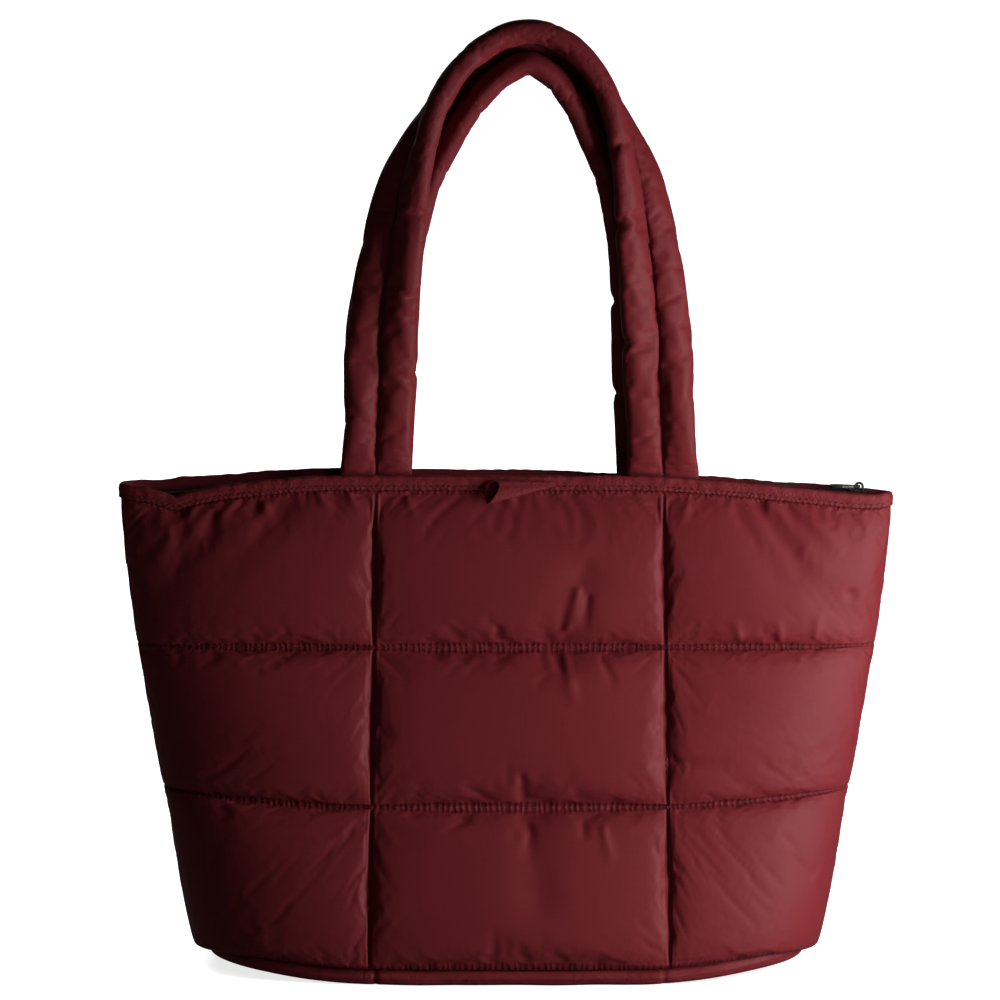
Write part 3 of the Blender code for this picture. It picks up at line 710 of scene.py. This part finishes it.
def build_binding(name, side, surface):
    """The folded strip along one wall's top edge, gathered a little where it is sewn."""
    points = len(BINDING_SECTION)

    def place(around, along):
        outwards, upwards = BINDING_SECTION[round(around * points) % points]
        (x, reach), outward = outline_point(1.0, column_share(along * CELLS, 1.0))
        fine = noise.noise(Vector((x * FINE_GATHERS, side * 7.0, upwards * 1.5)))
        gather = GATHER * (fine + noise.noise(Vector((x * WIDE_GATHERS, side * 3.0, 5.0))))
        swell = outwards * (1.0 + gather) * BINDING_THICKNESS
        z = level(1.0, x, side) + GAP + upwards * (1.0 + GATHER_LIFT * gather) * BINDING_HEIGHT
        return Vector((x + outward.x * swell, side * (reach + GAP / 2 + outward.y * swell), z))

    shape = sheet(points, BINDING_ALONG, place, lambda u, v: (v * RIM_WIDTH, u * 2.5 * BINDING_HEIGHT))
    pleat = shape.verts.layers.float.new("pleat")
    shape.verts.ensure_lookup_table()
    for vert in shape.verts:
        vert[pleat] = max(0.0, 1.0 - BINDING_SECTION[vert.index % (points + 1) % points][1] / BINDING_PLEATS)
    bmesh.ops.remove_doubles(shape, verts=shape.verts, dist=MERGE)
    bmesh.ops.recalc_face_normals(shape, faces=shape.faces)
    return refined(finished(name, shape, surface))


# Shoulder straps


def channel_section():
    """Two padded channels side by side with a sewn line between, as shares of half the size."""
    quarter = STRAP_AROUND // 4
    top = []
    for side in (-1, 1):
        for step in range(quarter):
            turn = math.pi * step / quarter
            across = 0.5 * (side - math.cos(turn))
            by_seam = (turn > math.pi / 2) == (side < 0)
            top.append((across, max(math.sin(turn) ** CHANNEL_POWER, SEAM_SHARE if by_seam else 0.0)))
    return top + [(-across, -upwards) for across, upwards in top]


def smooth_row(table, place):
    """Row of a table at a place between its rows, on a smooth curve through them."""
    rows = np.array(table)
    first = min(int(place), len(rows) - 2)
    share = place - first
    around = [rows[min(max(first + step, 0), len(rows) - 1)] for step in (-1, 0, 1, 2)]
    slope1, slope2 = (around[2] - around[0]) / 2, (around[3] - around[1]) / 2
    return (
        around[1] * (2 * share ** 3 - 3 * share ** 2 + 1) + slope1 * (share ** 3 - 2 * share ** 2 + share)
        + around[2] * (3 * share ** 2 - 2 * share ** 3) + slope2 * (share ** 3 - share ** 2)
    )


def strap_frame(side, arch, height, right_inset):
    """A function that gives a strap's centre, its two directions and its half sizes at a share along it."""
    left = [(row[0], -row[1], *row[2:]) for row in arch]
    table = left + [(row[0], row[1], *row[2:]) for row in arch[-2::-1]]
    foot_reach = min(mouth_reach(COLUMN_SHIFT + end * (COLUMN_WIDTH + STRAP_WIDTH) / 2) for end in (-1, 1))
    foot_reach -= 2 * GAP + FOOT_THICKNESS / 2

    def centre(along):
        upwards, spread, _, centring, _, _ = smooth_row(table, along * (len(table) - 1))
        lean = ARCH_LEAN * max(0.0, upwards) ** ARCH_LEAN_POWER
        return Vector((
            COLUMN_SHIFT + spread * COLUMN_WIDTH / 2 - max(0.0, spread) * right_inset + lean,
            side * foot_reach * (1.0 - centring),
            RIM_HEIGHT - STRAP_TUCK + upwards * height,
        ))

    @functools.lru_cache(maxsize=None)
    def at(along):
        _, _, twist, _, thickness, width = smooth_row(table, along * (len(table) - 1))
        tangent = centre(min(1.0, along + STRAP_NEAR)) - centre(max(0.0, along - STRAP_NEAR))
        if along in (0.0, 1.0):
            tangent = Vector((0.0, 0.0, 1.0 if along == 0.0 else -1.0))
        tangent.normalize()
        outward = Vector((-tangent.z, 0.0, tangent.x)).normalized()
        turn = twist * math.pi / 2
        face = outward * math.sin(turn) + Vector((0.0, -1.0, 0.0)) * math.cos(turn)
        across = tangent.cross(face).normalized()
        face = across.cross(tangent)
        half_thickness = mix(FOOT_THICKNESS, STRAP_THICKNESS, thickness) / 2
        return centre(along), across, face, width * STRAP_WIDTH / 2, half_thickness, thickness

    return at


def build_strap(name, side, arch, height, right_inset, pinches, surface):
    """One padded strap of two channels, side -1 on the front wall and 1 on the back wall."""
    at = strap_frame(side, arch, height, right_inset)
    section = channel_section()
    quarter = STRAP_AROUND // 4

    def pinch(middle, along):
        taken = 0.0
        for end, z, depth in pinches:
            if (along > 0.5) == (end > 0):
                taken += depth * math.exp(-(((middle.z - z) / PINCH_LENGTH) ** 2))
        return taken

    def place(around, along):
        middle, across, face, half_width, half_thickness, _ = at(along)
        wide, thick = section[round(around * len(section)) % len(section)]
        inner = max(0.0, wide) ** 3
        wide -= inner * pinch(middle, along) / half_width
        spot = Vector((along * LUMPS_ALONG, wide * LUMPS_ACROSS + side * 9.0, 2.0 + math.copysign(1.0, thick)))
        lump = 1.0 + LUMPS * noise.noise(spot)
        return middle + across * wide * half_width + face * thick * half_thickness * lump * STRAP_START

    shape = sheet(STRAP_AROUND, STRAP_ALONG, place, lambda u, v: (u * 2.6 * STRAP_WIDTH, v * 2.9 * height))
    near = shape.verts.layers.float.new("seam_near")
    shape.verts.ensure_lookup_table()
    rows = STRAP_AROUND + 1
    for vert in shape.verts:
        turn = vert.index % rows % quarter
        vert[near] = 1.0 - min(1.0, min(turn, quarter - turn) / SEAM_STEPS)
    bmesh.ops.remove_doubles(shape, verts=shape.verts, dist=MERGE)
    bmesh.ops.recalc_face_normals(shape, faces=shape.faces)
    strap = finished(name, shape, surface)
    held = {}
    places = [at(index / STRAP_ALONG) for index in range(STRAP_ALONG + 1)]
    lines = np.array([place[0] for place in places])
    for vert in strap.data.vertices:
        index = int(np.argmin(np.linalg.norm(lines - np.array(vert.co), axis=1)))
        middle, across, _, half_width, _, fullness = places[index]
        wide = (vert.co - middle).dot(across) / half_width
        if fullness < HELD_FOOT or abs(wide) < HELD_SEAM:
            held[vert.index] = 1.0
        elif wide > HELD_EDGE:
            held[vert.index] = EDGE_HOLD
    settle(strap, held, STRAP_GROWTH, STRAP_PRESSURE, STRAP_FRAMES, STRAP_CAP)
    return refined(strap)


# Folded loop at the front


def build_tab(surface):
    """A folded fabric loop that lies along the binding: open at the left, pinched at the right."""
    binding_face = mouth_reach(0.0) + GAP / 2 + BINDING_THICKNESS

    def place(around, along):
        turn = 2.0 * math.pi * around
        size = mix(1.0, TAB_PINCH, along ** TAB_PINCH_POWER)
        across, upwards = math.cos(turn) * size * TAB_DEPTH / 2, math.sin(turn) * size * TAB_HEIGHT / 2
        outer = 0.5 + 0.5 * math.cos(turn)
        open_end = outer * mix(TAB_SLANT_LOW, TAB_SLANT_HIGH, 0.5 + 0.5 * math.sin(turn)) * (1.0 - along) ** 2
        x = COLUMN_SHIFT + TAB_LENGTH * (along - 0.5) + open_end
        middle = RIM_HEIGHT - BINDING_HEIGHT / 2 - (1.0 - along) * BINDING_HEIGHT / 2
        lean = TAB_LEAN * max(0.0, RIM_HEIGHT - BINDING_HEIGHT / 2 - middle - upwards)
        y = -binding_face - GAP - size * TAB_DEPTH / 2 - lean - across
        return Vector((x, y, middle + upwards))

    shape = sheet(TAB_AROUND, TAB_ALONG, place, lambda u, v: (u * 2.4 * TAB_HEIGHT, v * TAB_LENGTH))
    bmesh.ops.remove_doubles(shape, verts=shape.verts, dist=MERGE)
    tab = finished("folded_loop", shape, surface)
    wall = tab.modifiers.new("wall", "SOLIDIFY")
    wall.thickness = TAB_WALL
    wall.offset = 1.0
    return tab


# Rows of stitches


def lining_normal(place, height, side):
    """Outward direction of a wall's lining."""
    left, right = max(0.0, place - NORMAL_STEP), min(CELLS, place + NORMAL_STEP)
    low, high = max(0.0, height - NORMAL_STEP), min(1.0, height + NORMAL_STEP)
    across = lining_point(right, height, side) - lining_point(left, height, side)
    up = lining_point(place, high, side) - lining_point(place, low, side)
    normal = across.cross(up)
    return (normal if normal.y * side > 0 else -normal).normalized()


def repeated(name, places, points_round, surface):
    """One piece of many small round bodies, each a unit sphere put in its place by a matrix."""
    whole = bmesh.new()
    for first in range(0, len(places), BATCH):
        batch = bmesh.new()
        for place in places[first:first + BATCH]:
            bmesh.ops.create_uvsphere(batch, u_segments=points_round, v_segments=4, radius=0.5, matrix=place)
        passing = bpy.data.meshes.new(name)
        batch.to_mesh(passing)
        batch.free()
        whole.from_mesh(passing)
        bpy.data.meshes.remove(passing)
    return finished(name, whole, surface)


def stitch_places(route):
    """Places of the stitches along a route of (point, outward direction) pairs."""
    places = []
    points = np.array([point for point, _ in route])
    travelled = np.concatenate(([0.0], np.cumsum(np.linalg.norm(np.diff(points, axis=0), axis=1))))
    count = int(travelled[-1] / (STITCH_LENGTH + STITCH_GAP))
    for number in range(count):
        middle = (number + 0.5) * travelled[-1] / count
        ends = [
            Vector([np.interp(middle + half, travelled, points[:, axis]) for axis in range(3)])
            for half in (-STITCH_LENGTH / 2, STITCH_LENGTH / 2)
        ]
        outward = route[int(np.searchsorted(travelled, middle)) - 1][1]
        along = (ends[1] - ends[0]).normalized()
        across = along.cross(outward).normalized()
        outward = across.cross(along)
        sides = along * STITCH_LENGTH, across * STITCH_SIZE, outward * STITCH_SIZE * STITCH_FLATNESS
        turned = Matrix(sides).transposed().to_4x4()
        turned.translation = (ends[0] + ends[1]) / 2
        places.append(turned @ SPHERE_ALONG_X)
    return places


def stitched(name, routes, surface):
    """One piece with all the stitches of several routes."""
    return repeated(name, [place for route in routes for place in stitch_places(route)], 6, surface)


def seam_routes(side):
    """Routes of one wall's quilting seams."""
    routes = []

    def spot(place, height, full=0.0):
        outward = lining_normal(place, height, side)
        lift = mix(SEAM_THICKNESS, PAD_SEEN, full) + STITCH_SIZE * STITCH_PROUD
        return lining_point(place, height, side) + outward * lift, outward

    for row in range(1, CELLS):
        routes.append([spot(CELLS * step / SEAM_STOPS, row / CELLS) for step in range(4, SEAM_STOPS - 3)])
    for column in range(1, CELLS):
        places = [step * CELLS / UPRIGHT_STOPS for step in range(2, UPRIGHT_STOPS - 1)]
        fulls = [COLUMN_FLOOR * row_share(int(place), place % 1.0) for place in places]
        routes.append([spot(column, place / CELLS, full) for place, full in zip(places, fulls)])
    return routes


def binding_route(side):
    """Route of the stitches near a binding's lower edge."""
    route = []
    spread = BINDING_THICKNESS + STITCH_SIZE * BINDING_STITCH_PROUD
    for step in range(4, BINDING_STOPS - 3):
        (x, reach), outward = outline_point(1.0, column_share(step / BINDING_STOPS * CELLS, 1.0))
        z = level(1.0, x, side) + GAP + STITCH_HEIGHT * BINDING_HEIGHT
        point = Vector((x + outward.x * spread, side * (reach + GAP / 2 + outward.y * spread), z))
        route.append((point, Vector((outward.x, side * outward.y, 0.0))))
    return route


def strap_routes(side, arch, height, right_inset):
    """Routes of the line between a strap's two channels, on both of its faces."""
    at = strap_frame(side, arch, height, right_inset)
    routes = []
    for face_side in (-1, 1):
        route = []
        for step in range(6, STRAP_ALONG - 5):
            middle, _, face, _, half_thickness, _ = at(step / STRAP_ALONG)
            outward = face * face_side
            lift = half_thickness * SEAM_SHARE * STRAP_START + STITCH_SIZE * STITCH_PROUD
            route.append((middle + outward * lift, outward))
        routes.append(route)
    return routes


# Coil of the zip


def zip_level(x):
    """Z of the top of the zip's tapes."""
    return ZIP_LEVEL - ZIP_SAG * end_rise(x, half_sizes(1.0)[0])


def build_coil(surface):
    """Two rows of interlocked loops of the coil, from the left end to the slider."""
    mouth = SLIDER_X - SLIDER_LENGTH / 2 - GAP
    count = int((mouth + ZIP_END) / COIL_PITCH)
    places = []
    for number in range(count):
        for side in (-1, 1):
            x = -ZIP_END + (number + 0.5 + 0.25 * side) * COIL_PITCH
            z = zip_level(x) - TAPE_THICKNESS / 2
            size = Matrix.Diagonal((COIL_PITCH * 0.44, TEETH_WIDTH * 0.56, TEETH_HEIGHT * 0.92, 1.0))
            places.append(Matrix.Translation((x, side * TEETH_WIDTH * 0.21, z)) @ size @ SPHERE_ALONG_Y)
    return repeated("zip_coil", places, 8, surface)


# Surfaces


def add(tree, kind, fed=None, **settings):
    """A node with its settings; fed gives constants or other nodes' sockets for its inputs."""
    made = tree.nodes.new(kind)
    for key, value in settings.items():
        setattr(made, key, value)
    for key, value in (fed or {}).items():
        if isinstance(value, bpy.types.NodeSocket):
            tree.links.new(value, made.inputs[key])
        else:
            made.inputs[key].default_value = value
    return made


def effect(name, takes, gives):
    """An empty node group with named float, vector or colour sockets."""
    tree = bpy.data.node_groups.new(name, "ShaderNodeTree")
    for side, sockets in (("INPUT", takes), ("OUTPUT", gives)):
        for label, kind in sockets:
            tree.interface.new_socket(name=label, in_out=side, socket_type="NodeSocket" + kind)
    return tree, tree.nodes.new("NodeGroupInput"), tree.nodes.new("NodeGroupOutput")


def maths(tree, operation, first, second=0.0, third=0.0):
    """Output of a maths node."""
    return add(tree, "ShaderNodeMath", {0: first, 1: second, 2: third}, operation=operation).outputs[0]


def new_surface(name):
    """A material with its nodes and its shader."""
    surface = bpy.data.materials.new(name)
    surface.use_nodes = True
    return surface, surface.node_tree, surface.node_tree.nodes["Principled BSDF"]


def weave_effect():
    """Plain weave: fine crossing threads, with slubs that run along them."""
    tree, taken, given = effect(
        "thread weave", (("Cloth", "Vector"), ("Threads", "Float"), ("Slub", "Float")),
        (("Height", "Float"), ("Tone", "Float")),
    )
    turn = maths(tree, "MULTIPLY", taken.outputs["Threads"], 2.0 * math.pi)
    place = add(tree, "ShaderNodeVectorMath", {0: taken.outputs["Cloth"], "Scale": turn}, operation="SCALE").outputs[0]
    parts = add(tree, "ShaderNodeSeparateXYZ", {0: place}).outputs
    warp, weft = maths(tree, "SINE", parts[0]), maths(tree, "SINE", parts[1])
    over = maths(tree, "MULTIPLY", warp, weft)
    ridges = maths(tree, "MULTIPLY_ADD", over, 0.5, 0.5)
    stretched = [
        add(tree, "ShaderNodeMapping", {"Vector": taken.outputs["Cloth"], "Scale": scale}).outputs[0]
        for scale in ((1500.0, 45.0, 1.0), (45.0, 1500.0, 1.0))
    ]
    lines = [
        add(tree, "ShaderNodeTexNoise", {"Vector": line, "Scale": 1.0, "Detail": 2.0}).outputs[0] for line in stretched
    ]
    slub = maths(tree, "SUBTRACT", maths(tree, "ADD", lines[0], lines[1]), 1.0)
    tone = maths(tree, "MULTIPLY", slub, taken.outputs["Slub"])
    tree.links.new(maths(tree, "MULTIPLY_ADD", slub, 0.6, ridges), given.inputs["Height"])
    tree.links.new(maths(tree, "ADD", tone, 0.5), given.inputs["Tone"])
    return tree


def crease_effect():
    """Small creases of a light padded cloth, stronger towards a seam, with painted shade along their valleys."""
    tree, taken, given = effect(
        "soft creases", (("Place", "Vector"), ("Size", "Float"), ("Seam", "Float")),
        (("Height", "Float"), ("Crease Shade", "Float")),
    )
    scale = maths(tree, "DIVIDE", 1.0, taken.outputs["Size"])
    ridges = add(tree, "ShaderNodeTexNoise", {
        "Vector": taken.outputs["Place"], "Scale": scale, "Detail": 2.0, "Roughness": 0.45, "Distortion": 0.6,
    }).outputs[0]
    fold = maths(tree, "ABSOLUTE", maths(tree, "SUBTRACT", ridges, 0.5))
    fold = maths(tree, "SMOOTH_MIN", maths(tree, "MULTIPLY", fold, 6.0), 1.0, 0.4)
    strength = maths(tree, "MULTIPLY_ADD", taken.outputs["Seam"], 0.8, 0.2)
    tree.links.new(maths(tree, "MULTIPLY", fold, strength), given.inputs["Height"])
    # Painted shade: a mask of the crease valleys, strongest near a seam
    crease_shade = maths(tree, "MULTIPLY", maths(tree, "SUBTRACT", 1.0, fold), taken.outputs["Seam"])
    tree.links.new(crease_shade, given.inputs["Crease Shade"])
    return tree


def pleat_effect():
    """Tiny pleats that stitches draw into the cloth on both sides of a seam."""
    tree, taken, given = effect(
        "stitch pleats", (("Cloth", "Vector"), ("Pitch", "Float"), ("Pleat", "Float")),
        (("Height", "Float"), ("Shade", "Float")),
    )
    along = add(tree, "ShaderNodeSeparateXYZ", {0: taken.outputs["Cloth"]}).outputs[0]
    spots = {"Vector": taken.outputs["Cloth"], "Scale": 160.0, "Detail": 0.0}
    uneven = add(tree, "ShaderNodeTexNoise", spots).outputs[0]
    turn = maths(tree, "DIVIDE", maths(tree, "MULTIPLY_ADD", uneven, 0.004, along), taken.outputs["Pitch"])
    wave = maths(tree, "SINE", maths(tree, "MULTIPLY", turn, 2.0 * math.pi))
    wave = maths(tree, "MULTIPLY_ADD", wave, 0.5, 0.5)
    deep = maths(tree, "MULTIPLY", maths(tree, "POWER", wave, 1.5), taken.outputs["Pleat"])
    shade = maths(tree, "MULTIPLY", maths(tree, "SUBTRACT", 1.0, wave), taken.outputs["Pleat"])
    tree.links.new(deep, given.inputs["Height"])
    tree.links.new(shade, given.inputs["Shade"])
    return tree


WEAVE = weave_effect()
PLEATS = pleat_effect()
CREASES = crease_effect()


def cloth_surface(name, deep, light, roughness, threads, slub, crease_size, crease_depth, seamed=True):
    """A woven nylon: threads and slubs on its own UV, creases towards the seams with painted shade in their valleys."""
    surface, tree, shader = new_surface(name)
    cloth = add(tree, "ShaderNodeUVMap", uv_map="cloth").outputs[0]
    place = add(tree, "ShaderNodeTexCoord").outputs["Object"]
    seam = add(tree, "ShaderNodeAttribute", attribute_name="seam_near").outputs["Fac"] if seamed else EVEN_CREASING_AND_SHADE
    drawn_in = add(tree, "ShaderNodeAttribute", attribute_name="pleat").outputs["Fac"]
    weave = add(tree, "ShaderNodeGroup", {"Cloth": cloth, "Threads": threads, "Slub": slub}, node_tree=WEAVE)
    creases = add(tree, "ShaderNodeGroup", {"Place": place, "Size": crease_size, "Seam": seam}, node_tree=CREASES)
    pitch = STITCH_LENGTH + STITCH_GAP
    pleats = add(tree, "ShaderNodeGroup", {"Cloth": cloth, "Pleat": drawn_in, "Pitch": pitch}, node_tree=PLEATS)
    blotch = add(tree, "ShaderNodeTexNoise", {"Vector": place, "Scale": 14.0, "Detail": 3.0}).outputs[0]
    tone = maths(tree, "MULTIPLY_ADD", maths(tree, "SUBTRACT", blotch, 0.5), 0.5, weave.outputs["Tone"])
    # Painted shade: the colour darkens along the crease valleys near the seams
    tone = maths(tree, "MULTIPLY_ADD", creases.outputs["Crease Shade"], -0.25, tone)
    tone = maths(tree, "MULTIPLY_ADD", pleats.outputs["Shade"], -0.5, tone)
    colour = add(tree, "ShaderNodeMix", {"Factor": tone, "A": deep, "B": light}, data_type="RGBA")
    tree.links.new(colour.outputs["Result"], shader.inputs["Base Color"])
    rough = maths(tree, "MULTIPLY_ADD", maths(tree, "SUBTRACT", weave.outputs["Tone"], 0.5), 0.3, roughness)
    # Roughness also rises along the same crease valleys
    tree.links.new(maths(tree, "MULTIPLY_ADD", creases.outputs["Crease Shade"], 0.12, rough), shader.inputs["Roughness"])
    fine = add(tree, "ShaderNodeBump", {"Height": weave.outputs["Height"], "Strength": 0.35, "Distance": 0.00006})
    bump = add(tree, "ShaderNodeBump", {
        "Height": creases.outputs["Height"], "Strength": 0.6, "Distance": crease_depth, "Normal": fine.outputs[0],
    })
    drawn = add(tree, "ShaderNodeBump", {
        "Height": pleats.outputs["Height"], "Strength": 0.6, "Distance": 0.0007, "Normal": bump.outputs[0],
    })
    tree.links.new(drawn.outputs[0], shader.inputs["Normal"])
    shader.inputs["Specular IOR Level"].default_value = GLOSS
    shader.inputs["Sheen Weight"].default_value = SHEEN
    shader.inputs["Sheen Roughness"].default_value = 0.35
    shader.inputs["Sheen Tint"].default_value = (0.9, 0.45, 0.45, 1.0)
    return surface


def thread_surface(name, deep, light, roughness):
    """Twisted sewing thread or moulded coil."""
    surface, tree, shader = new_surface(name)
    place = add(tree, "ShaderNodeTexCoord").outputs["Object"]
    twist = add(tree, "ShaderNodeTexNoise", {"Vector": place, "Scale": 2600.0, "Detail": 1.0}).outputs[0]
    patch = add(tree, "ShaderNodeTexNoise", {"Vector": place, "Scale": 120.0, "Detail": 2.0}).outputs[0]
    tone = maths(tree, "MULTIPLY", maths(tree, "ADD", twist, patch), 0.5)
    colour = add(tree, "ShaderNodeMix", {"Factor": tone, "A": deep, "B": light}, data_type="RGBA")
    tree.links.new(colour.outputs["Result"], shader.inputs["Base Color"])
    tree.links.new(maths(tree, "MULTIPLY_ADD", patch, 0.2, roughness - 0.1), shader.inputs["Roughness"])
    bump = add(tree, "ShaderNodeBump", {"Height": twist, "Strength": 0.5, "Distance": 0.0001})
    tree.links.new(bump.outputs[0], shader.inputs["Normal"])
    return surface


def metal_surface(name, deep, light):
    """Darkened metal, brighter where hands have rubbed it."""
    surface, tree, shader = new_surface(name)
    place = add(tree, "ShaderNodeTexCoord").outputs["Object"]
    rub = add(tree, "ShaderNodeTexNoise", {"Vector": place, "Scale": 260.0, "Detail": 4.0, "Roughness": 0.6}).outputs[0]
    grain = add(tree, "ShaderNodeTexNoise", {"Vector": place, "Scale": 5200.0, "Detail": 1.0}).outputs[0]
    colour = add(tree, "ShaderNodeMix", {"Factor": rub, "A": deep, "B": light}, data_type="RGBA")
    tree.links.new(colour.outputs["Result"], shader.inputs["Base Color"])
    tree.links.new(maths(tree, "MULTIPLY_ADD", rub, 0.25, 0.14), shader.inputs["Roughness"])
    bump = add(tree, "ShaderNodeBump", {"Height": grain, "Strength": 0.2, "Distance": 0.00003})
    tree.links.new(bump.outputs[0], shader.inputs["Normal"])
    shader.inputs["Metallic"].default_value = 1.0
    return surface


quilt = cloth_surface("satin_nylon", WINE_DEEP, WINE_LIGHT, 0.50, 3300.0, 0.5, 0.0090, 0.00022)
strap_cloth = cloth_surface("strap_satin", WINE_DEEP, WINE_LIGHT, 0.50, 3300.0, 0.5, 0.007, 0.00035)
binding_cloth = cloth_surface("binding_nylon", WINE_DEEP, WINE_LIGHT, 0.48, 2600.0, 0.7, 0.004, 0.0005, False)
base_cloth = cloth_surface("base_nylon", WINE_DEEP, WINE_LIGHT, 0.45, 3000.0, 0.5, 0.009, 0.0006, False)
tape_cloth = cloth_surface("zip_tape_twill", TAPE_DEEP, TAPE_LIGHT, 0.75, 1300.0, 0.8, 0.003, 0.0001, False)
thread = thread_surface("sewing_thread", THREAD_DEEP, THREAD_LIGHT, 0.6)
coil = thread_surface("coil_nylon", TAPE_DEEP, COIL_LIGHT, 0.35)
gunmetal = metal_surface("gunmetal", METAL_DEEP, METAL_LIGHT)

front = build_wall("quilted_front", -1, True, quilt)
back = build_wall("quilted_back", 1, False, quilt)
front_strap = build_strap("padded_strap_front", -1, FRONT_ARCH, FRONT_STRAP_HEIGHT, 0.0, FRONT_PINCHES, strap_cloth)
back_strap = build_strap(
    "padded_strap_back", 1, BACK_ARCH, BACK_STRAP_HEIGHT, BACK_RIGHT_INSET, BACK_PINCHES, strap_cloth,
)
for piece, node, slot in (
    (front, "front_panel", "quilted_nylon"), (back, "back_panel", "quilted_nylon"),
    (build_base(base_cloth), "base_panel", "quilted_nylon"),
    (front_strap, "handle_front", "strap_nylon"), (back_strap, "handle_back", "strap_nylon"),
):
    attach(piece, "bag")
    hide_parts(node)
loop = build_tab(binding_cloth)
for piece, node, slot in (
    (build_binding("folded_binding_front", -1, binding_cloth), "binding_front", "binding_nylon"),
    (build_binding("folded_binding_back", 1, binding_cloth), "binding_back", "binding_nylon"),
    (loop, "front_tab", "binding_nylon"),
    (build_coil(coil), "zip_teeth", "zip_coil"),
):
    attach(piece, "bag")
    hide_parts(node)
for name, routes, slot in (
    ("stitches_front", seam_routes(-1), "quilted_nylon"),
    ("stitches_back", seam_routes(1), "quilted_nylon"),
    ("stitches_binding", [binding_route(-1), binding_route(1)], "binding_nylon"),
    ("stitches_strap_front", strap_routes(-1, FRONT_ARCH, FRONT_STRAP_HEIGHT, 0.0), "strap_nylon"),
    ("stitches_strap_back", strap_routes(1, BACK_ARCH, BACK_STRAP_HEIGHT, BACK_RIGHT_INSET), "strap_nylon"),
):
    piece = stitched(name, routes, thread)
    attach(piece, "bag")
for name, surface in (
    ("zip_tape_front", tape_cloth), ("zip_tape_back", tape_cloth), ("zip_slider", gunmetal), ("zip_pull", gunmetal),
):
    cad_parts[name].data.materials.clear()
    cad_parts[name].data.materials.append(surface)

# Floor, light and camera
bpy.context.scene.view_settings.view_transform = "Standard"
floor_shape = bmesh.new()
bmesh.ops.create_grid(floor_shape, x_segments=1, y_segments=1, size=FLOOR_HALF_SIZE)
white, studio, lit = new_surface("white_floor")
lit.inputs["Roughness"].default_value = 0.9
lit.inputs["Specular IOR Level"].default_value = 0.1
lit.inputs["Emission Color"].default_value = (1.0, 1.0, 1.0, 1.0)
seen = add(studio, "ShaderNodeLightPath").outputs["Is Camera Ray"]
glow = maths(studio, "MULTIPLY_ADD", seen, FLOOR_SEEN - FLOOR_GLOW, FLOOR_GLOW)
studio.links.new(glow, lit.inputs["Emission Strength"])
white_seen = maths(studio, "MULTIPLY_ADD", seen, FLOOR_WHITE - FLOOR_BOUNCE, FLOOR_BOUNCE)
studio.links.new(white_seen, lit.inputs["Base Color"])
floor = finished("floor", floor_shape, white)

world = bpy.data.worlds.new("studio")
bpy.context.scene.world = world
world.use_nodes = True
world.node_tree.nodes["Background"].inputs["Color"].default_value = (1.0, 1.0, 1.0, 1.0)
world.node_tree.nodes["Background"].inputs["Strength"].default_value = ROOM_LIGHT


def softbox(name, place, target, size, power):
    """A large soft area light that faces a point."""
    light = bpy.data.lights.new(name, "AREA")
    light.shape = "RECTANGLE"
    light.size, light.size_y = size
    light.energy = power
    made = bpy.data.objects.new(name, light)
    bpy.context.scene.collection.objects.link(made)
    made.location = place
    made.rotation_euler = (Vector(target) - Vector(place)).to_track_quat("-Z", "Y").to_euler()
    return made


for light in SOFTBOXES:
    softbox(*light)
floor_only = bpy.data.collections.new("floor_light")
floor_only.objects.link(floor)
softbox(*OVERHEAD).light_linking.receiver_collection = floor_only

camera_data = bpy.data.cameras.new("camera")
camera_data.sensor_width = SENSOR
camera_data.lens = SENSOR * CAMERA_DISTANCE / VIEW_WIDTH
camera = bpy.data.objects.new("camera", camera_data)
bpy.context.scene.collection.objects.link(camera)
backwards = Vector((0.0, -math.cos(ELEVATION), math.sin(ELEVATION)))
camera.location = Vector(VIEW_CENTRE) + CAMERA_DISTANCE * backwards
camera.rotation_euler = (math.pi / 2 - ELEVATION, 0.0, 0.0)
bpy.context.scene.camera = camera
